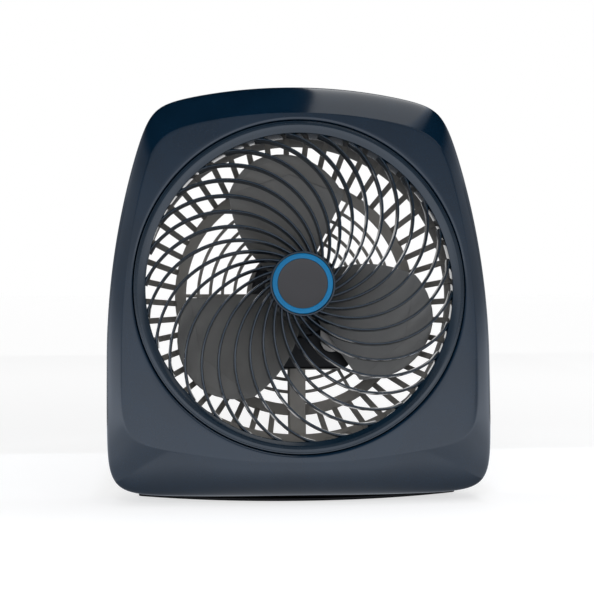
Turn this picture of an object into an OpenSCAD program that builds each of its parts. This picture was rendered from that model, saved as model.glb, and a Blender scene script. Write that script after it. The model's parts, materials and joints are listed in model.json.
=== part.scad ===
// Desk box fan that leans back on a low base: two-part body, spiral front grille,
// three-bladed impeller on an induction motor, rear guard and a rotary speed switch.
// Fan frame: x to the right, y rearwards from the foremost line of the face, z up from the fan axis.
// Row frame: the fan frame leaned back and lifted, with the floor at z = 0.

/* [Body outline] */
// Height of the body above the fan axis
body_top = 158.5; // [150:0.5:175]
// Reach of the body below the fan axis
body_bottom = 158; // [150:0.5:175]
// Half width of the body at its widest line
body_side = 147; // [144:0.5:165]
// Distance of the widest line below the fan axis
widest_drop = 51; // [20:1:70]
// Radius of the arched top edge
top_arc_r = 410; // [300:10:800]
// Radius of the nearly straight lower edge
bottom_arc_r = 4000; // [1500:100:8000]
// Radius of the side edges above the widest line
upper_side_r = 578; // [450:1:900]
// Radius of the side edges below the widest line
lower_side_r = 3600; // [1500:100:8000]
// Sharpness of the upper corners, higher is sharper
upper_corner = 26; // [14:1:40]
// Sharpness of the lower corners, higher is sharper
lower_corner = 12; // [8:1:30]
// Lean of the whole fan on its base, in degrees
lean = 7.5; // [4:0.5:10]

/* [Front bezel] */
// Radius of the sideways crown of the front face
crown_r = 700; // [500:10:1500]
// Height of the flat face above the fan axis
face_top = 132.6; // [131:0.2:138]
// Reach of the flat face below the fan axis
face_bottom = 132.4; // [132:0.2:140]
// Half width of the flat face at its widest line
face_side = 135.4; // [131:0.2:138]
// Sharpness of the face's upper corners
face_upper_corner = 17; // [10:1:30]
// Sharpness of the face's lower corners
face_lower_corner = 16; // [5:0.5:20]
// Radius of the flat face's arched lower edge
face_bottom_arc_r = 530; // [450:10:4000]
// Depth at which the bevel ends in the outer edge
bevel_depth = 24; // [21:0.5:27]
// Turn of the bevel's rounded section, in degrees
bevel_turn = 50; // [30:1:70]
// Depth of the joint between bezel and rear housing
parting_y = 32; // [31.8:0.2:35]
// Wall of the plastic shells
wall = 2.5; // [2:0.1:3]
// Radius of the round opening in the face
opening_r = 127.2; // [127:0.1:128.5]
// Width of the rounded rim of the opening
rim_round = 2; // [1:0.1:2.2]

/* [Front grille] */
// Running width of the ring around the ribs
ring_w = 9.1; // [8:0.1:10]
// Distance from the ring's outer edge to its ridge
ring_band = 3.4; // [3.3:0.1:6]
// Depth of the sloping lip inside the band
ring_lip = 2.4; // [1:0.1:4]
// Depth of the ring's flat rear face
ring_rear_y = 26.7; // [26:0.1:28]
// Radius of the grille hub
grille_hub_r = 24.5; // [22:0.5:30]
// How far the hub stands in front of the face
hub_proud = 10.2; // [7:0.1:14]
// Depth of the hub, front to back
grille_hub_depth = 8; // [7:0.5:12]
// Number of spiral ribs
rib_count = 30; // [18:1:36]
// Width of a rib at its rear edge
rib_w = 2.4; // [2:0.1:3]
// Width of a rib at its front edge
rib_front_w = 1.1; // [0.8:0.1:1.6]
// Depth of a rib, front to back
rib_depth = 7.5; // [5:0.5:8]
// Radius of the arc that each rib follows
rib_arc_r = 71.5; // [68:0.5:76]
// Distance of that arc's centre from the fan axis
rib_arc_offset = 60; // [56:0.5:64]
// Angle of the first rib's arc centre, in degrees
rib_phase = 2.5; // [0:0.5:12]

/* [Badge] */
// Outer radius of the coloured ring
badge_ring_r = 22.7; // [18:0.1:23.5]
// Width of the coloured ring
badge_ring_w = 3.9; // [2:0.1:6]
// Thickness of the ring and the disc
badge_t = 2; // [1.2:0.1:3]

/* [Impeller] */
// Radius of the blade tips
tip_r = 108; // [95:0.5:112]
// Number of blades
blade_count = 3; // [3:1:4]
// Radius of the impeller hub
impeller_hub_r = 26; // [22:0.5:32]
// Depth of the blades' front edge
blade_front_y = 21; // [21:0.5:24]
// Depth of the blades' rear edge
blade_rear_y = 42.5; // [38:0.5:43]
// Thickness of a blade
blade_t = 2; // [1.4:0.1:3]
// Angle of a blade's leading edge, in degrees
blade_lead = 64; // [50:1:80]
// Angle of the trailing edge at the hub, in degrees
blade_trail = 152; // [140:1:160]
// Swing of the trailing edge towards the tip, in degrees per mm
blade_swing = 0.385; // [0.2:0.01:0.5]
// Wall of the impeller hub
impeller_wall = 2.5; // [2:0.1:3.5]
// Wall of the boss round the shaft
boss_wall = 4.5; // [3.5:0.5:5]
// How far the shaft's thread stands in front of the impeller hub
thread_len = 5; // [4.5:0.5:6]

/* [Motor] */
// Radius of the shaft
shaft_r = 4; // [3:0.1:5]
// Outer radius of the bearings
bearing_r = 8; // [7:0.1:9]
// Width of a bearing
bearing_w = 5; // [4:0.5:5]
// Radius of the motor's rotor
rotor_r = 18; // [15:0.5:19]
// Length of the rotor and of the stator's plates
core_len = 8; // [6:0.5:9]
// Air gap between rotor and stator
air_gap = 0.5; // [0.4:0.1:0.8]
// Outer radius of the stator
stator_r = 29.8; // [27:0.1:29.8]
// Number of stator slots
slot_count = 12; // [6:2:16]
// Outer radius of the motor pod
pod_r = 36; // [35.5:0.5:37]
// Wall of the motor pod
pod_wall = 2; // [1.5:0.1:2.2]
// Depth of the pod's front
pod_front_y = 47; // [46.5:0.1:47.2]
// Half width of the block below the shaft
block_half_w = 42; // [36:0.5:46]
// Reach of that block below the fan axis
block_drop = 60; // [54:0.5:64]
// Set-back of the block behind the pod's front
block_setback = 5; // [3:0.5:6]
// Corner radius of the block
block_corner_r = 8; // [5:0.5:10]
// Set-back of the motor lead behind the block's front
lead_setback = 6; // [5.5:0.5:6.5]
// Radius of the circle of motor bolts
bolt_circle_r = 31.7; // [31.6:0.1:31.8]
// Radius of the motor bolts
motor_bolt_r = 1.2; // [1:0.1:1.4]

/* [Rear housing] */
// Depth of the housing's flat rear face
rear_y = 66; // [66:0.5:67.5]
// How far the body has drawn in where it meets the rear face
rear_inset = 13; // [11:0.5:14]
// Inner radius of the air duct
duct_r = 121; // [120.5:0.1:121.5]
// Radius of the pegs and bosses for the long screws
boss_r = 5.2; // [4.5:0.1:5.5]
// Radius of the long screws
screw_r = 1.5; // [1.2:0.1:1.7]
// Side distance of the upper screws
upper_screw_x = 92; // [90:0.5:94]
// Height of the upper screws
upper_screw_z = 110; // [108:0.5:112]
// Side distance of the lower screws
lower_screw_x = 62; // [58:0.5:66]
// Drop of the lower screws
lower_screw_z = 131; // [130:0.5:132]

/* [Rear guard] */
// Depth of the guard's flat centre
guard_y = 72; // [71.5:0.1:73]
// Thickness of the guard's bars
guard_t = 2.5; // [2:0.1:3]
// Inner radius of the broad band
band_in_r = 87.5; // [84:0.5:90]
// Outer radius of the broad band
band_out_r = 96.5; // [93:0.5:99]
// Number of outer bars
bar_count = 48; // [36:2:60]
// Width of an outer bar
bar_w = 4.4; // [3:0.1:5]
// Number of thin rings inside the band
thin_ring_count = 4; // [2:1:5]
// Width of thin rings and spokes
thin_w = 2.6; // [2:0.1:3]
// Number of thin spokes
spoke_count = 6; // [3:1:8]
// Radius of the centre plate
plate_r = 39; // [38.5:0.5:42]
// Width of the upright strut and of its cable cover
strut_w = 13; // [10:0.5:16]
// Outer radius of the guard's flange
flange_r = 132.6; // [132.4:0.1:132.8]

/* [Switch and cord] */
// Side distance of the speed switch and of the cord gland
corner_x = 110; // [108:0.5:112]
// Drop of the speed switch and of the cord gland
corner_z = 110; // [108:0.5:112]
// Radius of the speed knob
knob_r = 14; // [11:0.5:16]
// Height of the speed knob
knob_h = 12; // [9:0.5:16]
// Radius of the switch spindle
spindle_r = 3; // [2.5:0.1:3.5]
// Width of the square switch body
switch_w = 24; // [20:0.5:26]
// Length of the switch body
switch_len = 14; // [12:0.5:16]
// Bore radius of the cord gland
gland_bore_r = 3.6; // [3:0.1:4]
// Radius of the internal leads
lead_r = 2; // [1.5:0.1:2.2]

/* [Base] */
// Height of the base's underside above the floor
foot_h = 1.2; // [0.8:0.1:2]
// Thickness of the base plate at its front
base_t = 2.2; // [1.5:0.1:3]
// Half width of the base
base_side = 124; // [110:1:130]
// Radius of the base's curved front
base_front_r = 262; // [220:2:320]
// Depth of the base, front to back
base_depth = 82; // [74:1:90]
// Radius of a rubber foot
foot_r = 8; // [5:0.5:10]
// Radius of the base's rear corners
base_corner_r = 20; // [12:1:30]

/* [Clearances] */
// Gap between pieces that only lie beside each other
gap = 0.3; // [0.2:0.05:0.4]
// Radial clearance of a turning shaft
run_gap = 0.05; // [0.03:0.01:0.08]
// Width of the seam between the two shells
seam = 0.3; // [0.2:0.05:0.4]

/* [Hidden] */

$fn = 96;
fine = 48;
small = 24;

housing_colour = [0.21, 0.25, 0.29];
grille_colour = [0.08, 0.15, 0.22];
guard_colour = [0.30, 0.29, 0.28];
blade_colour = [0.27, 0.27, 0.28];
dark_colour = [0.09, 0.09, 0.10];

// ---- Outlines and lofted shells ----

// Angles around the fan axis, closer together where the body turns its corners
function span(from, to, n) = [for (i = [0 : n - 1]) from + (to - from) * i / n];
right_angles = concat(
    span(-90, -62, 5), span(-62, -32, 14), span(-32, 40, 13), span(40, 62, 11), span(62, 90, 7));
half_count = len(right_angles);
angles = concat(
    right_angles, [for (i = [0 : half_count - 1]) i == 0 ? 90 : 180 - right_angles[half_count - i]]);

// Sag of the crowned face at a sideways distance x
function crown(x) = crown_r - sqrt(crown_r * crown_r - x * x);

// Distance from the axis at which a ray leaves a circle that holds the axis
function ray_exit(c, s, cx, cz, r) = let (b = c * cx + s * cz) b + sqrt(b * b - cx * cx - cz * cz + r * r);

// Rounded outline: the smooth least of the distances to its top, bottom and side arcs
function outline_r(a, top, bottom, side, sharp_up, sharp_low, sill_arc_r) =
    let (
        c = abs(cos(a)),
        s = sin(a),
        upper = ray_exit(c, s, side - upper_side_r, -widest_drop, upper_side_r),
        lower = ray_exit(c, s, side - lower_side_r, -widest_drop, lower_side_r),
        flank = upper * s > -widest_drop ? upper : lower,
        roof = ray_exit(c, s, 0, top - top_arc_r, top_arc_r),
        sill = ray_exit(c, s, 0, sill_arc_r - bottom, sill_arc_r),
        p = (sharp_up + sharp_low) / 2 + (sharp_up - sharp_low) / 2 * s
    )
    pow(pow(flank, -p) + pow(roof, -p) + pow(sill, -p), -1 / p);
function body_outline(a) = outline_r(
    a, body_top, body_bottom, body_side, upper_corner, lower_corner, bottom_arc_r);
function face_outline(a) = outline_r(
    a, face_top, face_bottom, face_side, face_upper_corner, face_lower_corner, face_bottom_arc_r);

// A loft level is [blend, inset, depth, crowned]: blend runs from the body outline (0) to the face
// outline (1), and -1 is a circle whose radius stands in place of the inset.
function level_r(l, a) =
    l[0] < 0 ? l[1] : (1 - l[0]) * body_outline(a) + l[0] * face_outline(a) - l[1];
function level_points(l) =
    [for (a = angles) let (r = level_r(l, a), x = r * cos(a)) [x, l[2] + l[3] * crown(x), r * sin(a)]];

// Closed tube of quads through a list of rings with equal counts, its last ring joined to its first
module ring_loft(rings) {
    n = len(rings[0]);
    m = len(rings);
    polyhedron(
        points = [for (ring = rings) each ring],
        faces = [for (i = [0 : m - 1], j = [0 : n - 1])
            let (k = (i + 1) % m, q = (j + 1) % n, a = i * n + j, b = i * n + q, c = k * n + q, d = k * n + j)
            each [[a, c, b], [a, d, c]]]
    );
}

// Solid of quads through a list of rings, closed by a fan at each end
module capped_loft(rings) {
    n = len(rings[0]);
    m = len(rings);
    polyhedron(
        points = [for (ring = rings) each ring],
        faces = concat(
            [for (i = [0 : m - 2], j = [0 : n - 1])
                let (q = (j + 1) % n, a = i * n + j, b = i * n + q, c = a - j + n + q, d = a + n)
                each [[a, b, c], [a, c, d]]],
            [for (j = [1 : n - 2]) [0, j + 1, j]],
            [for (j = [1 : n - 2]) [(m - 1) * n, (m - 1) * n + j, (m - 1) * n + j + 1]]
        )
    );
}

// Levels of the bevel's rounded section from the outer edge (0) to the face's edge (1)
function bevel_blend(t) = (1 - cos(t * bevel_turn)) / (1 - cos(bevel_turn));
function bevel_rise(t) = sin(t * bevel_turn) / sin(bevel_turn);
bevel_steps = 6;
inner_steps = 3;
rim_front_r = opening_r + rim_round;
ledge_in_r = duct_r + 0.5;
ledge_y = ring_rear_y + gap;
ledge_back_y = ledge_y + wall;
collar_r = opening_r + wall;

bezel_levels = concat(
    [[0, 0, parting_y - seam / 2, 0]],
    [for (i = [0 : bevel_steps]) let (t = i / bevel_steps, rise = bevel_rise(t))
        [bevel_blend(t), 0, bevel_depth * (1 - rise), rise]],
    [[-1, rim_front_r, 0, 1], [-1, opening_r + rim_round * 0.3, rim_round * 0.25, 1],
     [-1, opening_r, rim_round, 1], [-1, opening_r, ledge_y, 0], [-1, ledge_in_r, ledge_y, 0],
     [-1, ledge_in_r, ledge_back_y, 0], [-1, collar_r, ledge_back_y, 0], [-1, collar_r, wall, 1]],
    [for (i = [inner_steps : -1 : 0]) let (t = i / inner_steps, rise = bevel_rise(t))
        [bevel_blend(t), wall, bevel_depth * (1 - rise) + wall * rise, rise]],
    [[0, wall, parting_y - seam / 2, 0]]
);

// ---- Placing ----

// Lowest point of a lofted body once it leans
function leaned_y(p) = p[1] * cos(lean) + p[2] * sin(lean);
function leaned_z(p) = -p[1] * sin(lean) + p[2] * cos(lean);
// The housing draws in towards the rear along a quarter of an ellipse
skin_steps = 6;
function skin_inset(t) = rear_inset * (1 - cos(t * 90));
function skin_y(t) = parting_y + seam / 2 + (rear_y - parting_y - seam / 2) * sin(t * 90);
housing_skin = [for (i = [0 : skin_steps]) let (t = i / skin_steps) [0, skin_inset(t), skin_y(t), 0]];
shell_points = concat(
    [for (l = bezel_levels) each level_points(l)], [for (l = housing_skin) each level_points(l)]);
body_low = min([for (p = shell_points) leaned_z(p)]);
axis_h = foot_h + base_t + gap - body_low;
shell_front = min([for (p = shell_points) leaned_y(p)]);
guard_back_y = guard_y + guard_t;
base_front = leaned_y([0, bevel_depth, -body_bottom]) + 2;
base_back = base_front + base_depth;
shell_back = max([for (p = shell_points) leaned_y(p)]);
axis_y = -(shell_front + max(shell_back, base_back, leaned_y([0, guard_back_y, plate_r]))) / 2;

module in_fan() translate([0, axis_y, axis_h]) rotate([-lean, 0, 0]) children();
// Turns a shape drawn round +z so that it runs rearwards, with z = 0 at depth y
module along(y = 0) translate([0, y, 0]) rotate([-90, 0, 0]) children();
// Cylinder of radius r from depth y0 to y1 at place (x, z)
module rod(r, y0, y1, x = 0, z = 0, f = fine)
    translate([x, y0, z]) rotate([-90, 0, 0]) cylinder(r = r, h = y1 - y0, $fn = f);
// Ring of revolution from depth y0 to y1
module tube(r_in, r_out, y0, y1)
    along(y0) rotate_extrude() translate([r_in, 0]) square([r_out - r_in, y1 - y0]);
// Block centred on x, from depth y0 to y1 and height z0 to z1
module bar(w, y0, y1, z0, z1, x = 0) translate([x - w / 2, y0, z0]) cube([w, y1 - y0, z1 - z0]);

screw_places = [[-upper_screw_x, upper_screw_z], [upper_screw_x, upper_screw_z],
    [-lower_screw_x, -lower_screw_z], [lower_screw_x, -lower_screw_z]];
screw_seat_y = parting_y + 8;
screw_head_r = screw_r * 2.1;
screw_head_h = 2.4;
screw_end_y = parting_y - 16;
screw_hole_r = screw_r + gap;
pilot_r = screw_r + run_gap;

// ---- Shells ----

module front_bezel() color(housing_colour) difference() {
    union() {
        ring_loft([for (l = bezel_levels) level_points(l)]);
        for (p = screw_places) rod(boss_r - 0.4, crown(p[0]) + wall * 0.5, parting_y, p[0], p[1], small);
    }
    for (p = screw_places) rod(pilot_r, screw_end_y - 1, parting_y + 1, p[0], p[1], small);
    grille_screw_ring() rod(grille_screw_r + gap, ledge_y - 1, ledge_back_y + 1, 0, 0, small);
}

guard_screw_angles = [22, 158, 202, 338];
guard_screw_r = 1.3;
guard_screw_circle = flange_r - 3;
guard_boss_y = rear_y - 12;
duct_front_y = ledge_back_y + 2;
duct_out_r = duct_r + wall;
seat_r = duct_out_r + gap;
notch_w = strut_w - 4;
gland_hole_r = gland_bore_r + 3;
bush_r = spindle_r + 2.8;

housing_levels = concat(
    [for (i = [len(housing_skin) - 1 : -1 : 0]) housing_skin[i]],
    [for (t = [0, 0.35, 0.65]) [0, skin_inset(t) + wall, skin_y(t) - wall * t, 0]],
    [[0, rear_inset + wall * 0.3, rear_y - wall, 0], [-1, seat_r, rear_y - wall, 0], [-1, seat_r, rear_y, 0]]
);

module guard_screw_ring() for (a = guard_screw_angles)
    translate([guard_screw_circle * cos(a), 0, guard_screw_circle * sin(a)]) children();

module rear_housing() color(housing_colour) difference() {
    union() {
        ring_loft([for (l = housing_levels) level_points(l)]);
        for (p = screw_places) rod(boss_r, parting_y, rear_y - wall * 0.5, p[0], p[1], small);
        guard_screw_ring() rod(guard_screw_r + 1.9, guard_boss_y, rear_y - wall * 0.5, 0, 0, small);
    }
    for (p = screw_places) {
        rod(screw_hole_r, parting_y - 1, screw_seat_y + 1, p[0], p[1], small);
        rod(screw_head_r + gap, screw_seat_y, rear_y + 1, p[0], p[1], small);
    }
    guard_screw_ring() rod(guard_screw_r + run_gap, guard_boss_y + 1.5, rear_y + 1, 0, 0, small);
    rod(bush_r + gap, rear_y - wall - 1, rear_y + 1, -corner_x, -corner_z, small);
    rod(gland_hole_r + gap, rear_y - wall - 1, rear_y + 1, corner_x, -corner_z, small);
    base_screw_places() cylinder(r = base_screw_r + run_gap, h = base_screw_h + 1, $fn = small);
}

// ---- Front grille ----

ring_r = opening_r - 0.7;
ring_in_r = ring_r - ring_w;
dome_y = 1.7 - hub_proud;
rib_end_r = ring_in_r + 1.4;
rib_start_r = grille_hub_r - 0.8;
rib_end_y = 5;
rib_steps = 12;
ring_sink = 0.6;
// The ring falls away outwards from its crest to a groove inside a thin outer bead
ring_slope = 3;
ring_fall = 0.2;
// It rolls off inwards in two slopes that meet at this distance from its inner edge
ring_roll = 3.7;
ring_roll_drop = 0.5;
bead_w = 0.9;
grille_screw_r = 1;
grille_screw_circle = ring_r - 2.6;
grille_screw_len = 6;
hub_core_r = grille_hub_r - 4;

module grille_screw_ring() for (a = [45 : 90 : 315])
    translate([grille_screw_circle * cos(a), 0, grille_screw_circle * sin(a)]) children();

// Depth of the ribs' front edge: a shallow dome that also follows the crown of the face
function rib_front_y(r, x) =
    dome_y + (rib_end_y - dome_y) * pow((r - rib_start_r) / (rib_end_r - rib_start_r), 2) + crown(x);
// Turn about a rib's arc centre at which the rib is a distance r from the fan axis
function rib_turn(r) =
    acos((r * r - rib_arc_offset * rib_arc_offset - rib_arc_r * rib_arc_r) / (2 * rib_arc_offset * rib_arc_r));

function rib_section(i) =
    let (
        turn0 = rib_turn(rib_start_r),
        turn = turn0 + (rib_turn(rib_end_r) - turn0) * i / rib_steps,
        at = function (radius) [rib_arc_offset + radius * cos(turn), -radius * sin(turn)]
    )
    [for (across = [-rib_w, -rib_front_w, rib_front_w, rib_w]) at(rib_arc_r + across / 2)];

// Each section is a wedge: narrow at the front edge, rib_w wide at the back
module rib(phase) {
    rings = [for (i = [0 : rib_steps])
        let (
            row = rib_section(i),
            turned = [for (p = row)
                [p[0] * cos(phase) - p[1] * sin(phase), p[0] * sin(phase) + p[1] * cos(phase)]],
            depths = [for (p = turned) rib_front_y(norm(p), p[0])]
        )
        [for (k = [1, 0, 3, 2]) [turned[k][0], depths[k] + (k % 3 == 0 ? rib_depth : 0), turned[k][1]]]];
    capped_loft(rings);
}

module front_grille() color(grille_colour) difference() {
    union() {
        ring_loft([for (l = [[-1, ring_r, ring_rear_y, 0], [-1, ring_r, ring_sink + 0.6, 1],
            [-1, ring_r - bead_w, ring_sink + 0.6, 1], [-1, ring_r - bead_w - gap, ring_sink + ring_fall, 1],
            [-1, ring_r - ring_slope, ring_sink, 1], [-1, ring_r - ring_band, ring_sink, 1],
            [-1, ring_in_r + ring_roll, ring_sink + ring_roll_drop, 1],
            [-1, ring_in_r, ring_sink + ring_lip, 1], [-1, ring_in_r + 1, ring_rear_y, 0]]) level_points(l)]);
        for (i = [0 : rib_count - 1]) rib(rib_phase + i * 360 / rib_count);
        rod(grille_hub_r, -hub_proud, grille_hub_depth - hub_proud, 0, 0, $fn);
    }
    rod(badge_ring_r + gap, -hub_proud - 1, badge_back_y, 0, 0, $fn);
    rod(hub_core_r, badge_back_y + 2, grille_hub_depth - hub_proud + 1, 0, 0, $fn);
    grille_screw_ring()
        rod(grille_screw_r + run_gap, ring_rear_y - grille_screw_len, ring_rear_y + 1, 0, 0, small);
}

badge_back_y = badge_t + 0.3 - hub_proud;
badge_disc_r = badge_ring_r - badge_ring_w;
module badge_ring() color([0.16, 0.49, 0.72])
    tube(badge_disc_r, badge_ring_r, badge_back_y - badge_t, badge_back_y);
module badge_disc() color([0.29, 0.29, 0.29])
    rod(badge_disc_r - gap / 3, badge_back_y - badge_t + 0.3, badge_back_y, 0, 0, $fn);

// ---- Impeller ----

hub_front_y = blade_front_y - 3.5;
hub_rear_y = blade_rear_y + 0.5;
boss_out_r = shaft_r + boss_wall;
shaft_front_y = hub_front_y - thread_len;
blade_root_r = impeller_hub_r - 1;
span_steps = 7;
chord_steps = 10;

// Reach of the blade tip across the chord: s runs from the leading (0) to the trailing edge (1)
function blade_reach(s) = tip_r *
    (s < 0.65 ? 1 - 0.22 * pow(1 - s / 0.65, 2) : 1 - 0.156 * pow((s - 0.65) / 0.35, 2.5));
// Point of the blade's middle surface, v from root (0) to tip (1)
function blade_point(v, s, side) =
    let (
        r = blade_root_r + v * (blade_reach(s) - blade_root_r),
        trail = blade_trail - blade_swing * (r - blade_root_r),
        a = blade_lead + s * (trail - blade_lead),
        camber = 2.5 * sin(180 * s),
        rear = blade_rear_y - blade_t - 3.5 * v * v,
        y = rear + s * (blade_front_y + blade_t - rear) + camber,
        edge = blade_t / 2 * (0.35 + 0.65 * sin(180 * s))
    )
    [r * cos(a), y + side * edge, r * sin(a)];

module blade() {
    rings = [for (i = [0 : span_steps])
        concat([for (j = [0 : chord_steps]) blade_point(i / span_steps, j / chord_steps, -1)],
               [for (j = [chord_steps : -1 : 0]) blade_point(i / span_steps, j / chord_steps, 1)])];
    capped_strip(rings);
}

// As capped_loft, for flat sections that are strips: the ends are closed by quads across the strip
module capped_strip(rings) {
    n = len(rings[0]);
    m = len(rings);
    polyhedron(
        points = [for (ring = rings) each ring],
        faces = concat(
            [for (i = [0 : m - 2], j = [0 : n - 1])
                let (q = (j + 1) % n, a = i * n + j, b = i * n + q, c = a - j + n + q, d = a + n)
                each [[a, b, c], [a, c, d]]],
            [for (j = [0 : n / 2 - 2]) each [[j, n - 1 - j, n - 2 - j], [j, n - 2 - j, j + 1]]],
            [for (j = [0 : n / 2 - 2]) let (o = (m - 1) * n)
                each [[o + j, o + n - 2 - j, o + n - 1 - j], [o + j, o + j + 1, o + n - 2 - j]]]
        )
    );
}

module impeller() color(blade_colour) difference() {
    union() {
        for (i = [0 : blade_count - 1]) rotate([0, -i * 360 / blade_count, 0]) blade();
        tube(impeller_hub_r - impeller_wall, impeller_hub_r, hub_front_y, hub_rear_y);
        rod(impeller_hub_r, hub_front_y, hub_front_y + impeller_wall, 0, 0, $fn);
        rod(boss_out_r, hub_front_y, hub_rear_y - 2, 0, 0, $fn);
    }
    rod(shaft_r + run_gap, hub_front_y - 1, hub_rear_y + 1, 0, 0, $fn);
}

module impeller_nut() color([0.35, 0.35, 0.36]) difference() {
    rod(shaft_r + 3.5, shaft_front_y + 0.8, hub_front_y, 0, 0, 6);
    rod(shaft_r + run_gap, shaft_front_y, hub_front_y + 1);
}

// ---- Motor ----

bracket_t = 2;
bracket_r = pod_r - pod_wall - gap;
bolt_head_h = 2;
bolt_head_r = bracket_r - bolt_circle_r;
front_bracket_y = pod_front_y + pod_wall + gap + bolt_head_h;
rear_bracket_y = guard_y - gap - bracket_t;
core_y = (front_bracket_y + bracket_t + rear_bracket_y - core_len) / 2;
coil_t = 3;
shaft_rear_y = guard_y - 0.4;
pocket_r = bearing_r + run_gap;

module motor_shaft() color([0.72, 0.73, 0.75]) rod(shaft_r, shaft_front_y, shaft_rear_y, 0, 0, $fn);
module motor_rotor() color([0.55, 0.56, 0.58]) difference() {
    rod(rotor_r, core_y, core_y + core_len, 0, 0, $fn);
    rod(shaft_r + run_gap, core_y - 1, core_y + core_len + 1, 0, 0, $fn);
}
module motor_stator() color([0.45, 0.46, 0.48]) difference() {
    tube(rotor_r + air_gap, stator_r, core_y, core_y + core_len);
    for (i = [0 : slot_count - 1]) rotate([0, i * 360 / slot_count, 0])
        bar(2.4, core_y - 1, core_y + core_len + 1, rotor_r - 1, stator_r - 4);
}
module motor_coils() color([0.72, 0.40, 0.20]) {
    tube(rotor_r + 2, stator_r - 1.5, core_y - gap / 2 - coil_t, core_y - gap / 2);
    tube(rotor_r + 2, stator_r - 1.5, core_y + core_len + gap / 2, core_y + core_len + gap / 2 + coil_t);
}
module bearing(y) color([0.70, 0.60, 0.38]) tube(shaft_r + run_gap, bearing_r, y, y + bearing_w);
module front_bearing() bearing(front_bracket_y);
module rear_bearing() bearing(rear_bracket_y + bracket_t - bearing_w);
module bracket(y, boss_y) color([0.62, 0.63, 0.64]) difference() {
    union() {
        rod(bracket_r, y, y + bracket_t, 0, 0, $fn);
        rod(bearing_r + 2.2, boss_y, boss_y + bearing_w, 0, 0, $fn);
    }
    rod(pocket_r, y - bearing_w - 1, y + bearing_w + bracket_t, 0, 0, $fn);
    bolt_ring() rod(motor_bolt_r + run_gap, y - 1, y + bracket_t + 1, 0, 0, small);
}
module front_motor_bracket() bracket(front_bracket_y, front_bracket_y);
module rear_motor_bracket() bracket(rear_bracket_y, rear_bracket_y + bracket_t - bearing_w);
module bolt_ring() for (a = [45 : 90 : 315])
    translate([bolt_circle_r * cos(a), 0, bolt_circle_r * sin(a)]) children();
module motor_bolts() color([0.66, 0.67, 0.69]) bolt_ring() {
    rod(bolt_head_r, front_bracket_y - bolt_head_h, front_bracket_y, 0, 0, small);
    rod(motor_bolt_r, front_bracket_y, guard_back_y + 1, 0, 0, small);
}

block_top = -18;
block_front_y = pod_front_y + block_setback;
module rounded_block(half_w, z0, z1, r, y0, y1) {
    bar(2 * (half_w - r), y0, y1, z0, z1);
    bar(2 * half_w, y0, y1, z0 + r, z1);
    for (x = [r - half_w, half_w - r]) rod(r, y0, y1, x, z0 + r);
}
module motor_pod() color(dark_colour) difference() {
    union() {
        rod(pod_r, pod_front_y, guard_y, 0, 0, $fn);
        rounded_block(block_half_w, -block_drop, block_top, block_corner_r, block_front_y, guard_y);
    }
    rod(pod_r - pod_wall, pod_front_y + pod_wall, guard_y + 1, 0, 0, $fn);
    rod(bearing_r + 2, pod_front_y - 1, pod_front_y + pod_wall + 1, 0, 0, $fn);
    rounded_block(block_half_w - pod_wall, pod_wall - block_drop, block_top - pod_wall,
        block_corner_r - pod_wall, block_front_y + pod_wall, guard_y + 1);
    rod(lead_r + gap, -lead_r, lead_r, 0, 0, small);
    translate([0, lead_y, -block_drop]) cylinder(r = lead_r + gap, h = 3 * pod_wall, center = true, $fn = small);
}

clip_w = 17;
clip_x = 26.5;
clip_t = 1.6;
clip_top = -21;
clip_low = -39;
module lead_clip() color([0.42, 0.42, 0.43]) {
    bar(clip_w, pod_front_y - clip_t, pod_front_y, clip_low, clip_top, clip_x);
    rod(clip_w / 2, pod_front_y - clip_t, pod_front_y, clip_x, clip_low);
    bar(2, pod_front_y, block_front_y, clip_low - clip_w / 2 + 1.5, clip_low, clip_x - 3);
}

lead_y = block_front_y + lead_setback;
cover_wall = 1.5;
cover_end_z = gap - sqrt(duct_r * duct_r - strut_w * strut_w / 4);
cover_front_y = lead_y - 4;
cover_back_y = lead_y + 3.8;
module cable_cover() color(guard_colour) difference() {
    bar(strut_w, cover_front_y, cover_back_y, cover_end_z, -block_drop);
    bar(strut_w - 2 * cover_wall, cover_front_y + cover_wall, cover_back_y + 1, cover_end_z - 1, 1 - block_drop);
}

// Round tube through a list of points, with its rings set square to the mean of the two runs
function unit(v) = v / norm(v);
function run_dir(path, i) = unit(path[min(i + 1, len(path) - 1)] - path[max(i - 1, 0)]);
module lead_tube(path, r, sides = 10) {
    rings = [for (i = [0 : len(path) - 1])
        let (
            d = run_dir(path, i),
            side = unit(cross(d, abs(d[1]) < 0.9 ? [0, 1, 0] : [1, 0, 0])),
            up = cross(side, d)
        )
        [for (k = [0 : sides - 1]) path[i] + r * (cos(k * 360 / sides) * side + sin(k * 360 / sides) * up)]];
    capped_loft(rings);
}
motor_lead_path = [[0, lead_y, -56], [0, lead_y, -75], [0, lead_y, -95], [0, lead_y, -112], [0, lead_y, -124],
    [-1, lead_y, -129], [-5, lead_y, -132.5], [-11, lead_y, -134], [-22, lead_y, -133], [-36, 56, -128],
    [-50, 54, -123], [-64, 54, -119], [-78, 54, -115], [-90, 54, -112],
    [-corner_x + switch_w / 2 + gap, 54, -111]];
supply_lead_path = [
    [corner_x, rear_y - 6.4, -corner_z], [corner_x, 55, -corner_z], [108, 51, -110.5], [102, 48.5, -111.5],
    [92, 47.5, -113], [78, 47, -116.5], [64, 47, -119.5], [48, 47, -124], [32, 47, -130], [16, 47, -134.5],
    [0, 47, -136], [-16, 47, -134.5], [-32, 47, -130], [-48, 47, -124], [-64, 47, -119], [-78, 48, -116],
    [-90, 49.5, -115], [-corner_x + switch_w / 2 + gap, 50, -116]];
module motor_lead() color([0.12, 0.12, 0.13]) lead_tube(motor_lead_path, lead_r);
module supply_lead() color([0.12, 0.12, 0.13]) lead_tube(supply_lead_path, lead_r + 0.5);

// ---- Rear guard ----

flange_t = 2.2;
strut_end_y = rear_y - 3.5;
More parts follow.
